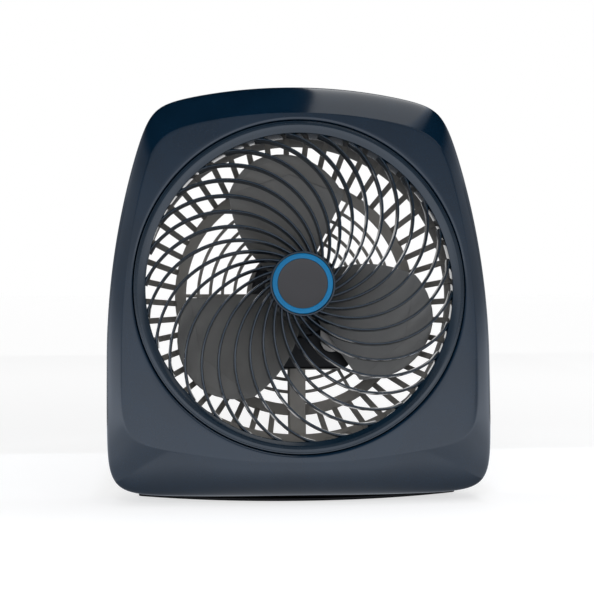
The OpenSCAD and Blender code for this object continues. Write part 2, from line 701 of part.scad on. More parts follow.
// The outer bars run forwards inside the duct like a basket; a sill closes its lowest part
basket_y = duct_front_y + 4.5;
basket_t = 3.7;
sill_y = 44;
sill_low = 111.5;
sill_r = 143;
thin_step = (band_in_r - plate_r) / (thin_ring_count + 1);
// The strut stands in place of the outer bars that would run into it
strut_turn = atan((strut_w + bar_w) / 2 / band_out_r);
module guard_bar(w, end_y, end_t) {
    points = [[band_out_r - 1.5, guard_y + gap], [band_out_r - 1.5, guard_back_y - gap],
        [band_out_r - 0.2, guard_back_y - gap], [duct_r + 1, end_y + end_t], [duct_r + 1, end_y]];
    translate([-w / 2, 0, 0]) rotate([90, 0, 90]) linear_extrude(w) polygon([for (p = points) [p[1], p[0]]]);
}
module duct_sill() difference() {
    rod(duct_r + 1, sill_y, sill_y + guard_t, 0, 0, $fn);
    rod(sill_r, sill_y - 1, sill_y + guard_t + 1, 0, sill_r - sill_low, $fn);
}
module rear_guard() color(guard_colour) difference() {
    union() {
        tube(duct_r, duct_out_r, duct_front_y, rear_y + flange_t);
        tube(duct_r, flange_r, rear_y, rear_y + flange_t);
        tube(band_in_r, band_out_r, guard_y, guard_back_y);
        for (i = [1 : thin_ring_count])
            let (r = plate_r + i * thin_step) tube(r - thin_w / 2, r + thin_w / 2, guard_y, guard_back_y);
        rod(plate_r, guard_y, guard_back_y, 0, 0, $fn);
        for (i = [0 : bar_count - 1]) let (a = (i + 0.5) * 360 / bar_count)
            if (abs(a - 180) > strut_turn) rotate([0, a, 0]) guard_bar(bar_w, basket_y, basket_t);
        rotate([0, 180, 0]) guard_bar(strut_w, strut_end_y, guard_t + 1);
        duct_sill();
        for (i = [0 : spoke_count - 1]) rotate([0, 90 - (i + 0.5) * 360 / spoke_count, 0])
            bar(thin_w, guard_y, guard_back_y, plate_r - 1, band_in_r + 1);
        bar(strut_w, guard_y, guard_back_y, -band_in_r - 1, 1 - plate_r);
    }
    bolt_ring() rod(motor_bolt_r + run_gap, guard_y - 1, guard_back_y + 1, 0, 0, small);
    guard_screw_ring() rod(guard_screw_r + gap, rear_y - 1, rear_y + flange_t + 1, 0, 0, small);
    bar(notch_w, lead_y - lead_r - 1, lead_y + lead_r + 1, -duct_out_r - 1, -duct_r + 2);
}

guard_head_y = rear_y + flange_t;
module guard_screws() color([0.60, 0.61, 0.63]) guard_screw_ring() {
    rod(guard_screw_r * 1.9, guard_head_y, guard_head_y + 1.8, 0, 0, small);
    rod(guard_screw_r, guard_boss_y + 2, guard_head_y, 0, 0, small);
}
module housing_screws() color([0.60, 0.61, 0.63]) for (p = screw_places) {
    rod(screw_head_r, screw_seat_y, screw_seat_y + screw_head_h, p[0], p[1], small);
    rod(screw_r, screw_end_y, screw_seat_y, p[0], p[1], small);
}
module grille_screws() color([0.60, 0.61, 0.63]) grille_screw_ring() {
    rod(grille_screw_r * 2, ledge_back_y, ledge_back_y + 1.5, 0, 0, small);
    rod(grille_screw_r, ring_rear_y - grille_screw_len + 0.5, ledge_back_y, 0, 0, small);
}

// ---- Switch, knob and cord gland ----

switch_back_y = rear_y - wall;
switch_front_y = switch_back_y - switch_len;
bush_end_y = rear_y + 3.4;
nut_h = 2;
knob_front_y = rear_y + 4;
module at_switch() translate([-corner_x, 0, -corner_z]) children();
module switch_body() color([0.85, 0.84, 0.80]) at_switch() difference() {
    union() {
        bar(switch_w, switch_front_y, switch_back_y, -switch_w / 2, switch_w / 2);
        rod(bush_r, switch_back_y, bush_end_y);
    }
    rod(spindle_r + run_gap, switch_front_y + 3, bush_end_y + 1);
}
module switch_nut() color([0.70, 0.71, 0.73]) at_switch() difference() {
    rod(bush_r + 2.6, rear_y, rear_y + nut_h, 0, 0, 6);
    rod(bush_r + run_gap, rear_y - 1, rear_y + nut_h + 1);
}
module switch_spindle() color([0.74, 0.75, 0.77]) at_switch()
    rod(spindle_r, switch_front_y + 3 + gap, knob_front_y + knob_h - 3 - run_gap);
module speed_knob() color(dark_colour) at_switch() difference() {
    union() {
        rod(knob_r, knob_front_y, knob_front_y + 3);
        rod(knob_r - 2.5, knob_front_y + 2, knob_front_y + knob_h - 2);
        bar(5, knob_front_y + 2, knob_front_y + knob_h, 1 - knob_r, knob_r - 1);
    }
    rod(spindle_r + run_gap, knob_front_y - 1, knob_front_y + knob_h - 3);
}
gland_flange_t = 2;
gland_nose = 6;
module cord_gland() color(dark_colour) translate([corner_x, 0, -corner_z]) difference() {
    union() {
        rod(gland_hole_r, rear_y - 6, rear_y);
        rod(gland_hole_r + 2.4, rear_y, rear_y + gland_flange_t);
        rod(gland_hole_r - 1, rear_y + gland_flange_t, rear_y + gland_flange_t + gland_nose);
    }
    rod(gland_bore_r, rear_y - 7, rear_y + gland_flange_t + gland_nose + 1);
}

// ---- Base ----

base_screw_r = 1.8;
base_screw_h = 9;
base_head_h = 1.4;
base_screw_x = 40;
// Where the lower edge of the parting line stands in the row frame
foot_line_y = leaned_y([0, parting_y + 10, -body_bottom]) + axis_y;
module base_screw_places() rotate([lean, 0, 0]) translate([0, -axis_y, -axis_h])
    for (x = [-base_screw_x, base_screw_x]) translate([x, foot_line_y, foot_h]) children();
base_top_z = foot_h + base_t;
front_centre_y = base_front + axis_y + base_front_r;
base_back_y = base_back + axis_y;
// The saddle fills the wedge between the base plate and the housing's leaning underside
saddle_side = 108;
// Each side of the skin hangs a little below its middle line where it draws in
saddle_ease = 0.9;
saddle_line = [for (p = housing_skin) let (q = [0, p[2], p[1] - body_bottom])
    [leaned_y(q) + axis_y, leaned_z(q) + axis_h - gap - saddle_ease * pow(p[1] / rear_inset, 2)]];
saddle_back = saddle_line[skin_steps];
saddle_tail_y = base_back_y - 8;
saddle_profile = concat([[saddle_line[0][0], foot_h]], saddle_line,
    [[saddle_back[0] + 3, saddle_back[1] - 2], [saddle_tail_y, base_top_z], [saddle_tail_y, foot_h]]);
module foot_base() color(dark_colour) difference() {
    intersection() {
        translate([0, front_centre_y, foot_h]) cylinder(r = base_front_r, h = saddle_back[1], $fn = 192);
        union() {
            translate([-base_side, base_front + axis_y, foot_h])
                cube([2 * base_side, base_depth - base_corner_r, base_t]);
            translate([base_corner_r - base_side, base_front + axis_y, foot_h])
                cube([2 * (base_side - base_corner_r), base_depth, base_t]);
            for (x = [base_corner_r - base_side, base_side - base_corner_r])
                translate([x, base_back_y - base_corner_r, foot_h]) cylinder(r = base_corner_r, h = base_t);
            translate([-saddle_side, 0, 0])
                rotate([90, 0, 90]) linear_extrude(2 * saddle_side) polygon(saddle_profile);
        }
    }
    for (x = [-base_screw_x, base_screw_x]) translate([x, foot_line_y, foot_h]) {
        cylinder(r = base_screw_r + gap, h = 3 * base_screw_h, center = true, $fn = small);
        cylinder(r = base_screw_r * 2 + gap, h = 2 * base_head_h, center = true, $fn = small);
    }
}
module base_screws() color([0.60, 0.61, 0.63])
    for (x = [-base_screw_x, base_screw_x]) translate([x, foot_line_y, foot_h]) {
        cylinder(r = base_screw_r * 2, h = base_head_h, $fn = small);
        cylinder(r = base_screw_r, h = base_screw_h, $fn = small);
    }
foot_margin = 4;
front_foot_x = base_side / 2;
front_foot_y = front_centre_y - sqrt(pow(base_front_r, 2) - pow(front_foot_x, 2)) + foot_r + foot_margin + 4;
rear_foot_x = base_side - base_corner_r;
rear_foot_y = base_back_y - foot_r - foot_margin;
module rubber_feet() color([0.05, 0.05, 0.05]) for (side = [-1, 1]) {
    translate([side * front_foot_x, front_foot_y, 0]) cylinder(r = foot_r, h = foot_h, $fn = fine);
    translate([side * rear_foot_x, rear_foot_y, 0]) cylinder(r = foot_r, h = foot_h, $fn = fine);
}

// ---- Selection ----

in_fan() front_bezel();
in_fan() rear_housing();
in_fan() front_grille();
in_fan() badge_ring();
in_fan() badge_disc();
in_fan() impeller();
in_fan() impeller_nut();
in_fan() motor_shaft();
in_fan() motor_rotor();
in_fan() motor_stator();
in_fan() motor_coils();
in_fan() front_bearing();
in_fan() rear_bearing();
in_fan() front_motor_bracket();
in_fan() rear_motor_bracket();
in_fan() motor_bolts();
in_fan() motor_pod();
in_fan() lead_clip();
in_fan() cable_cover();
in_fan() motor_lead();
in_fan() rear_guard();
in_fan() guard_screws();
in_fan() housing_screws();
in_fan() grille_screws();
in_fan() switch_body();
in_fan() switch_spindle();
in_fan() switch_nut();
in_fan() speed_knob();
in_fan() cord_gland();
in_fan() supply_lead();
foot_base();
base_screws();
rubber_feet();
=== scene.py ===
"""Looks of a desk box fan that leans back on a low base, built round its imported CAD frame.

New pieces are surfaces worked out with numpy in the fan's own frame, in millimetres: x to the right,
y rearwards from the foremost line of the face and z up from the fan axis. FanPlace then leans them back
and lifts them into the row frame, in metres, where the CAD nodes are.
"""

from __future__ import annotations

import json
import logging
import math
from dataclasses import dataclass
from enum import Enum
from typing import Any, Mapping, Sequence

import bmesh
import bpy
import numpy as np
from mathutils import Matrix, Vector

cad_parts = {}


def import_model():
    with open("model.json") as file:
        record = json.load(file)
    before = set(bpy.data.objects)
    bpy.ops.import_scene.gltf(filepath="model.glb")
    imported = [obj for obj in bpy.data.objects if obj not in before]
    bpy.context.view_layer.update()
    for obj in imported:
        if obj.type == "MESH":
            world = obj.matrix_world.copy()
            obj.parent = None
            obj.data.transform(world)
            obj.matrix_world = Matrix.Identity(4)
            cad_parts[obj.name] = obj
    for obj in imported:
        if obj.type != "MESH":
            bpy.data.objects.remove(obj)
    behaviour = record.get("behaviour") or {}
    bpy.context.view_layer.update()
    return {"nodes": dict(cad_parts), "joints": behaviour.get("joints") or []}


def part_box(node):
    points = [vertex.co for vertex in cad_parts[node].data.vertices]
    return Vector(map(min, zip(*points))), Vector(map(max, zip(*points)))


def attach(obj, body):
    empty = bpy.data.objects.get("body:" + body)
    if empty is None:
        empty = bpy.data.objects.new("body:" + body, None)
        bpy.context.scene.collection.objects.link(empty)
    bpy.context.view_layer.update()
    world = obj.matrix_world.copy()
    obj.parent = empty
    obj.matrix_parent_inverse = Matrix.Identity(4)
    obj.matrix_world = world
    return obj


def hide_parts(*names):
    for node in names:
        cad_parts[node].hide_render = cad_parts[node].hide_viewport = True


LOG = logging.getLogger("box_fan")
Array = np.ndarray
Colour = tuple[float, float, float]
Corners = tuple[tuple[float, float, float], ...]

MM = 0.001  # metres in a millimetre
MERGE_M = 2e-6  # points closer than this are one
DEGENERATE_M = 1e-7  # edges shorter than this are dissolved
MOST_CUT = 0.45  # share of an edge that a rounding may take
EDGE_SPAN = (0.505, 0.56)  # pointiness of a flat and of a clear edge
JOINT_DEPTH = 30  # depth of the impeller joint's point, in millimetres
BADGE_DISC_Y = -9.6  # depth of the badge disc's face, in millimetres


class Slot(Enum):
    """Material slots of the record."""

    HOUSING = "housing"
    GRILLE = "grille"
    BADGE_BLUE = "badge_blue"
    BADGE_GREY = "badge_grey"
    BLADES = "blades"
    GUARD = "guard"
    BLACK = "black_plastic"
    CLIP = "clip_grey"
    WHITE = "switch_white"
    STEEL = "steel"
    CAST = "cast_metal"
    BRONZE = "bronze"
    COPPER = "copper"
    LEAD = "lead"
    RUBBER = "rubber"


class Rider(Enum):
    """Bodies that a piece can move with."""

    BODY = "body"
    ROTOR = "rotor"
    KNOB = "knob"


# ---- Shader graphs ----


class Wire:
    """A socket whose arithmetic adds Math nodes."""

    def __init__(self, graph: "Graph", socket: bpy.types.NodeSocket) -> None:
        """Keeps the graph and the output socket that this wire leaves."""
        self.graph = graph
        self.socket = socket

    def _math(self, operation: str, *operands: Any) -> "Wire":
        """Adds one Math node.

        Args:
            operation: the Math node's operation.
            operands: wires or numbers for its sockets, in order.

        Returns:
            The wire of the result.
        """
        node = self.graph.node("ShaderNodeMath", {"operation": operation}, dict(enumerate(operands)))
        return self.graph.wire(node)

    def __add__(self, other: Any) -> "Wire":
        """Sum."""
        return self._math("ADD", self, other)

    def __radd__(self, other: Any) -> "Wire":
        """Sum, with the number first."""
        return self._math("ADD", other, self)

    def __sub__(self, other: Any) -> "Wire":
        """Difference."""
        return self._math("SUBTRACT", self, other)

    def __rsub__(self, other: Any) -> "Wire":
        """Difference, with the number first."""
        return self._math("SUBTRACT", other, self)

    def __mul__(self, other: Any) -> "Wire":
        """Product."""
        return self._math("MULTIPLY", self, other)

    def __rmul__(self, other: Any) -> "Wire":
        """Product, with the number first."""
        return self._math("MULTIPLY", other, self)

    def sine(self) -> "Wire":
        """Sine of an angle in radians."""
        return self._math("SINE", self)

    def most(self, other: Any) -> "Wire":
        """The greater of two values."""
        return self._math("MAXIMUM", self, other)

    def span(self, low: float, high: float) -> "Wire":
        """Smooth step from 0 at low to 1 at high.

        Args:
            low: value that gives 0.
            high: value that gives 1.

        Returns:
            The wire of the smooth step.
        """
        values = {"Value": self, "From Min": low, "From Max": high}
        node = self.graph.node("ShaderNodeMapRange", {"interpolation_type": "SMOOTHSTEP"}, values)
        return self.graph.wire(node, "Result")


class Graph:
    """The node tree of one material or world."""

    def __init__(self, owner: Any) -> None:
        """Starts an empty tree.

        Args:
            owner: the material or the world.
        """
        owner.use_nodes = True
        self.owner = owner
        self.tree = owner.node_tree
        self.tree.nodes.clear()

    @classmethod
    def material(cls, name: str) -> "Graph":
        """Graph of a new material."""
        return cls(bpy.data.materials.new(name))

    def node(
        self, kind: str, settings: Mapping[str, Any] | None = None, values: Mapping[Any, Any] | None = None
    ) -> bpy.types.Node:
        """Adds any node.

        Args:
            kind: the node's type.
            settings: properties that are set first, such as an operation.
            values: numbers, colours or wires for its input sockets, by name or index.

        Returns:
            The new node.
        """
        made = self.tree.nodes.new(kind)
        for key, value in (settings or {}).items():
            setattr(made, key, value)
        for key, value in (values or {}).items():
            if isinstance(value, Wire):
                self.tree.links.new(value.socket, made.inputs[key])
            else:
                made.inputs[key].default_value = value
        return made

    def wire(self, node: bpy.types.Node, output: Any = 0) -> Wire:
        """Wire of one of a node's outputs."""
        return Wire(self, node.outputs[output])

    def place(self) -> Wire:
        """Object coordinates, in metres."""
        return self.wire(self.node("ShaderNodeTexCoord"), "Object")

    def along(self, operation: str, second: Any = None) -> Wire:
        """Vector Math that gives a number from the place.

        Args:
            operation: DISTANCE, DOT_PRODUCT or LENGTH.
            second: point or direction for the second socket.

        Returns:
            The wire of the number.
        """
        values = {0: self.place()} if second is None else {0: self.place(), 1: second}
        return self.wire(self.node("ShaderNodeVectorMath", {"operation": operation}, values), "Value")

    def noise(
        self, size_mm: float, detail: float = 2.0, rough: float = 0.55, stretch: Sequence[float] = (1, 1, 1)
    ) -> Wire:
        """Noise whose features are about size_mm wide.

        Args:
            size_mm: width of a feature.
            detail: number of finer layers.
            rough: weight of the finer layers.
            stretch: factors on the three directions.

        Returns:
            A wire that lies around 0.5.
        """
        mapped = self.node("ShaderNodeMapping", values={"Vector": self.place(), "Scale": tuple(stretch)})
        values = {
            "Vector": self.wire(mapped), "Scale": 1 / (size_mm * MM), "Detail": detail, "Roughness": rough,
        }
        return self.wire(self.node("ShaderNodeTexNoise", values=values))

    def blend(self, factor: Wire, first: Any, second: Any) -> Wire:
        """Mixes two colours.

        Args:
            factor: 0 gives the first colour and 1 the second.
            first: colour or wire.
            second: colour or wire.

        Returns:
            The wire of the mixed colour.
        """
        low, high = (c if isinstance(c, Wire) else (*c, 1.0) for c in (first, second))
        return self.wire(self.node("ShaderNodeMix", {"data_type": "RGBA"}, {0: factor, 6: low, 7: high}), 2)

    def bump(self, height: Wire, depth_mm: float, under: Wire | None = None) -> Wire:
        """Bump from a height between 0 and 1.

        Args:
            height: the height's wire.
            depth_mm: depth of the relief.
            under: a coarser bump below this one.

        Returns:
            The wire of the normal.
        """
        values: dict[Any, Any] = {"Height": height, "Distance": depth_mm * MM, "Strength": 1.0}
        if under is not None:
            values["Normal"] = under
        return self.wire(self.node("ShaderNodeBump", values=values))

    def edges(self) -> Wire:
        """Mask of outward edges, where handling polishes a surface."""
        return self.wire(self.node("ShaderNodeNewGeometry"), "Pointiness").span(*EDGE_SPAN)

    def finish(self, values: Mapping[str, Any]) -> bpy.types.Material:
        """Closes a material's graph with its shader.

        Args:
            values: numbers and wires for the shader's sockets.

        Returns:
            The material.
        """
        shader = self.node("ShaderNodeBsdfPrincipled", values=values)
        self.node("ShaderNodeOutputMaterial", values={"Surface": self.wire(shader)})
        return self.owner


def shade(colour: Colour, factor: float) -> Colour:
    """Colour times a factor, held below 1."""
    return tuple(min(1.0, c * factor) for c in colour)


@dataclass(frozen=True)
class Moulded:
    """Injection-moulded plastic with a fine spark-eroded grain, flow marks and polished edges."""

    slot: Slot
    colour: Colour
    roughness: float = 0.38
    grain_mm: float = 0.35
    grain_depth: float = 0.006
    ripple_mm: float = 17
    ripple_depth: float = 0.02
    cloud_mm: float = 38
    variation: float = 0.12
    speck_mm: float = 1.3
    speck_tint: float = 2.2
    edge_tint: float = 1.35
    ior: float = 1.47

    def material(self) -> bpy.types.Material:
        """Builds the node graph.

        Returns:
            The material: grain and long ripples in the bump, cloudy roughness and a worn edge.
        """
        g = Graph.material(self.slot.value)
        cloud = g.noise(self.cloud_mm, 3, 0.6)
        speck = g.noise(self.speck_mm, 2, 0.6).span(0.60, 0.74)
        edge = g.edges()
        dark, pale = (shade(self.colour, 1 + side * self.variation) for side in (-1, 1))
        base = g.blend(cloud.span(0.3, 0.7), dark, pale)
        dusted = g.blend(speck * 0.10, base, shade(self.colour, self.speck_tint))
        worn = g.blend(edge * 0.5, dusted, shade(self.colour, self.edge_tint))
        roughness = self.roughness * (0.90 + 0.20 * cloud) + speck * 0.05 - edge * 0.06
        ripple = g.bump(g.noise(self.ripple_mm, 1, 0.4), self.ripple_depth)
        normal = g.bump(g.noise(self.grain_mm, 2, 0.5), self.grain_depth, ripple)
        return g.finish({"Base Color": worn, "Roughness": roughness, "Normal": normal, "IOR": self.ior})


@dataclass(frozen=True)
class Spun:
    """Plastic or foil disc with fine concentric turning marks."""

    slot: Slot
    colour: Colour
    centre: tuple[float, float, float]
    roughness: float = 0.42
    pitch_mm: float = 0.25
    depth_mm: float = 0.004
    grain_mm: float = 0.5
    cloud_mm: float = 6
    variation: float = 0.14

    def material(self) -> bpy.types.Material:
        """Builds the node graph.

        Returns:
            The material: circles about the centre, from the distance to it.
        """
        g = Graph.material(self.slot.value)
        rings = (g.along("DISTANCE", self.centre) * (2 * math.pi / (self.pitch_mm * MM))).sine()
        grain = g.noise(self.grain_mm, 2, 0.5)
        cloud = g.noise(self.cloud_mm, 2, 0.5)
        colour = g.blend(cloud, *(shade(self.colour, 1 + side * self.variation) for side in (-1, 1)))
        normal = g.bump(rings * 0.5 + grain, self.depth_mm)
        roughness = self.roughness * (0.85 + 0.3 * cloud)
        return g.finish({"Base Color": colour, "Roughness": roughness, "Normal": normal})


@dataclass(frozen=True)
class Metal:
    """Plated, cast or sintered metal."""

    slot: Slot
    colour: Colour
    roughness: float = 0.3
    grain_mm: float = 0.6
    grain_depth: float = 0.004
    stretch: tuple[float, float, float] = (1, 1, 1)
    patch_mm: float = 5
    tarnish: float = 0.25
    tarnish_tint: float = 0.45

    def material(self) -> bpy.types.Material:
        """Builds the node graph.

        Returns:
            The material: grain along the stretch, with patches of tarnish that dull it.
        """
        g = Graph.material(self.slot.value)
        patch = g.noise(self.patch_mm, 3, 0.6).span(0.42, 0.7)
        grain = g.noise(self.grain_mm, 3, 0.6, self.stretch)
        colour = g.blend(patch * self.tarnish, self.colour, shade(self.colour, self.tarnish_tint))
        roughness = self.roughness * (0.8 + 0.4 * grain) + patch * 0.12
        normal = g.bump(grain, self.grain_depth)
        return g.finish({"Base Color": colour, "Roughness": roughness, "Metallic": 1.0, "Normal": normal})


@dataclass(frozen=True)
class Wound:
    """Enamelled wire wound in layers round the fan axis."""

    slot: Slot
    colour: Colour
    lean: float
    wire_mm: float = 0.45
    ridge_mm: float = 0.12
    cloud_mm: float = 3

    def material(self) -> bpy.types.Material:
        """Builds the node graph.

        Returns:
            The material: ridges across the axis direction, a wire's width apart, with painted shade in the
                grooves between turns and a painted highlight on their crests.
        """
        g = Graph.material(self.slot.value)
        depth = g.along("DOT_PRODUCT", (0, math.cos(self.lean), -math.sin(self.lean)))
        ridges = (depth * (2 * math.pi / (self.wire_mm * MM))).sine() * 0.5 + 0.5
        cloud = g.noise(self.cloud_mm)
        # Painted shade: darker in the grooves between turns. Painted highlight: lighter on their crests.
        colour = g.blend(ridges, shade(self.colour, 0.55), shade(self.colour, 1.1))
        values = {"Base Color": colour, "Roughness": 0.28 + 0.2 * cloud, "Metallic": 0.85}
        return g.finish({**values, "Normal": g.bump(ridges, self.ridge_mm)})


# ---- Surfaces ----


def coords(*values: Any) -> Array:
    """Points whose coordinates are the given values, which broadcast together."""
    return np.stack(np.broadcast_arrays(*values), axis=-1)


def toward(start: Array, end: Array, distance: float) -> Array:
    """Point a distance along the way from start to end, at most MOST_CUT of the way.

    Args:
        start: points, last axis the coordinates.
        end: points of the same shape.
        distance: length to move.

    Returns:
        The moved points.
    """
    step = end - start
    length = np.maximum(np.linalg.norm(step, axis=-1, keepdims=True), 1e-9)
    return start + step * np.minimum(distance / length, MOST_CUT)


def soften(corners: Sequence[Any], cuts: Sequence[float], closed: bool = True, steps: int = 4) -> Array:
    """Path through corners, each rounded where its cut is above 0.

    Near a corner P the path is the parabola (1-t)^2 A + 2t(1-t) P + t^2 B, where A and B lie one cut away
    from P towards its neighbours. A corner may be a point or a whole ring of points.

    Args:
        corners: points or rings, all of one shape.
        cuts: distance from each corner at which its rounding starts.
        closed: whether the path runs from its last corner to its first.
        steps: segments in each rounded corner.

    Returns:
        The path, with its places on the first axis.
    """
    rings = [np.asarray(c, float) for c in corners]
    out: list[Array] = []
    for i, (ring, cut) in enumerate(zip(rings, cuts)):
        if cut <= 0 or (not closed and i in (0, len(rings) - 1)):
            out.append(ring)
            continue
        before = toward(ring, rings[i - 1], cut)
        after = toward(ring, rings[(i + 1) % len(rings)], cut)
        t = np.linspace(0, 1, steps + 1).reshape((-1,) + (1,) * ring.ndim)
        out.extend((1 - t) ** 2 * before + 2 * t * (1 - t) * ring + t**2 * after)
    return np.stack(out)


def profile(rows: Sequence[tuple[float, float, float]], closed: bool = True, steps: int = 4) -> Array:
    """Rounded path through rows of two coordinates and the corner's cut, such as (radius, depth, cut)."""
    return soften([row[:2] for row in rows], [row[2] for row in rows], closed, steps)


def smooth(values: Array, low: float, high: float) -> Array:
    """Smooth step from 0 at low to 1 at high."""
    t = np.clip((values - low) / (high - low), 0, 1)
    return t * t * (3 - 2 * t)


def turned(count: int) -> Array:
    """Angles of a full turn, without its end."""
    return np.linspace(0, 2 * math.pi, count, endpoint=False)


def spin_about_axis(points: Array, angle: float) -> Array:
    """Points turned about the fan axis.

    Args:
        points: points in the fan frame.
        angle: angle in radians from x towards z.

    Returns:
        The turned points.
    """
    x, y, z = points[..., 0], points[..., 1], points[..., 2]
    c, s = math.cos(angle), math.sin(angle)
    return coords(x * c - z * s, y, x * s + z * c)


class Shell:
    """Grids of points that together make one mesh."""

    def __init__(self) -> None:
        """Starts with no points."""
        self.points: list[Array] = []
        self.faces: list[Array] = []
        self.count = 0

    def grid(self, points: Array, wrap_rows: bool = False, wrap_cols: bool = True) -> "Shell":
        """Adds a grid of quads.

        Args:
            points: rows by columns by 3.
            wrap_rows: whether the last row joins the first.
            wrap_cols: whether the last column joins the first.

        Returns:
            This shell.
        """
        rows, cols = points.shape[:2]
        last_row, last_col = rows if wrap_rows else rows - 1, cols if wrap_cols else cols - 1
        i, j = np.meshgrid(np.arange(last_row), np.arange(last_col), indexing="ij")
        k, q = (i + 1) % rows, (j + 1) % cols
        quads = coords(i * cols + j, i * cols + q, k * cols + q, k * cols + j)
        self.faces.append(quads.reshape(-1, 4) + self.count)
        self.points.append(points.reshape(-1, 3))
        self.count += rows * cols
        return self

    def capped(self, rings: Any) -> "Shell":
        """Adds a tube of rings, with each end closed on the middle of its last ring.

        Args:
            rings: rings by points by 3.

        Returns:
            This shell.
        """
        rings = np.asarray(rings)
        front, back = (np.broadcast_to(ring.mean(axis=0), ring.shape) for ring in (rings[0], rings[-1]))
        return self.grid(np.concatenate([front[None], rings, back[None]]))

    def revolve(
        self, section: Array, closed: bool = True, count: int = 96, centre: Sequence[float] = (0, 0)
    ) -> "Shell":
        """Adds a surface of revolution about a line parallel to the fan axis.

        A section's point (r, y) becomes (cx + r cos a, y, cz + r sin a).

        Args:
            section: points (radius, depth).
            closed: whether the section runs back to its start, and otherwise it starts and ends at radius 0.
            count: points around.
            centre: x and z of the line.

        Returns:
            This shell.
        """
        return self.grid(around(section[:, :1], section[:, 1:], turned(count), centre), wrap_rows=closed)


def around(r: Array, y: Array, a: Array, centre: Sequence[float] = (0, 0)) -> Array:
    """Points at distances r and turns a about a line parallel to the fan axis, at depths y."""
    return coords(centre[0] + r * np.cos(a), y, centre[1] + r * np.sin(a))


def plate(low: float, high: float, r_in: float, r_out: float, cut: float) -> Array:
    """Rounded rectangular section of a ring: depths low to high, radii r_in to r_out."""
    return profile([(r_in, low, cut), (r_out, low, cut), (r_out, high, cut), (r_in, high, cut)])


def peg(low: float, high: float, radius: float, cut_low: float, cut_high: float) -> Array:
    """Open section of a solid disc or peg with rounded rims: depths low to high."""
    rows = [(0, low, 0), (radius, low, cut_low), (radius, high, cut_high), (0, high, 0)]
    return profile(rows, closed=False)


def bar_section(width: float, depth: float, cut_front: float, cut_rear: float) -> Array:
    """Rounded section of a bar, points (across, back): width about 0, and back from 0 to depth."""
    rows = [(-width / 2, 0, cut_front), (-width / 2, depth, cut_rear)]
    return profile(rows + [(-x, y, cut) for x, y, cut in rows[::-1]], steps=3)


# ---- Place of the fan and making of pieces ----


@dataclass(frozen=True)
class FanPlace:
    """Where the fan frame stands in the row frame: origin in metres and lean in radians."""

    y: float
    z: float
    lean: float

    @classmethod
    def from_joint(cls, joint: Mapping[str, Any], depth_mm: float) -> "FanPlace":
        """Reads the place from the impeller's joint.

        Args:
            joint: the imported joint, whose axis runs rearwards along the fan axis.
            depth_mm: depth of the joint's point in the fan frame.

        Returns:
            The place.
        """
        axis, pos = joint["axis"], joint["pos_m"]
        lean = math.atan2(-axis[2], axis[1])
        depth = depth_mm * MM
        return cls(pos[1] - depth * math.cos(lean), pos[2] + depth * math.sin(lean), lean)

    def row(self, points: Array) -> Array:
        """Fan frame to row frame: a turn by the lean about x, then a lift.

        Args:
            points: points in millimetres.

        Returns:
            Points in metres.
        """
        c, s = math.cos(self.lean), math.sin(self.lean)
        x, y, z = (points[..., k] * MM for k in range(3))
        return coords(x, self.y + y * c + z * s, self.z - y * s + z * c)


def link(name: str, data: bpy.types.ID) -> bpy.types.Object:
    """New object of the scene that shows a mesh, a light or a camera.

    Args:
        name: the object's name.
        data: what it shows.

    Returns:
        The object, at the origin.
    """
    obj = bpy.data.objects.new(name, data)
    bpy.context.scene.collection.objects.link(obj)
    return obj


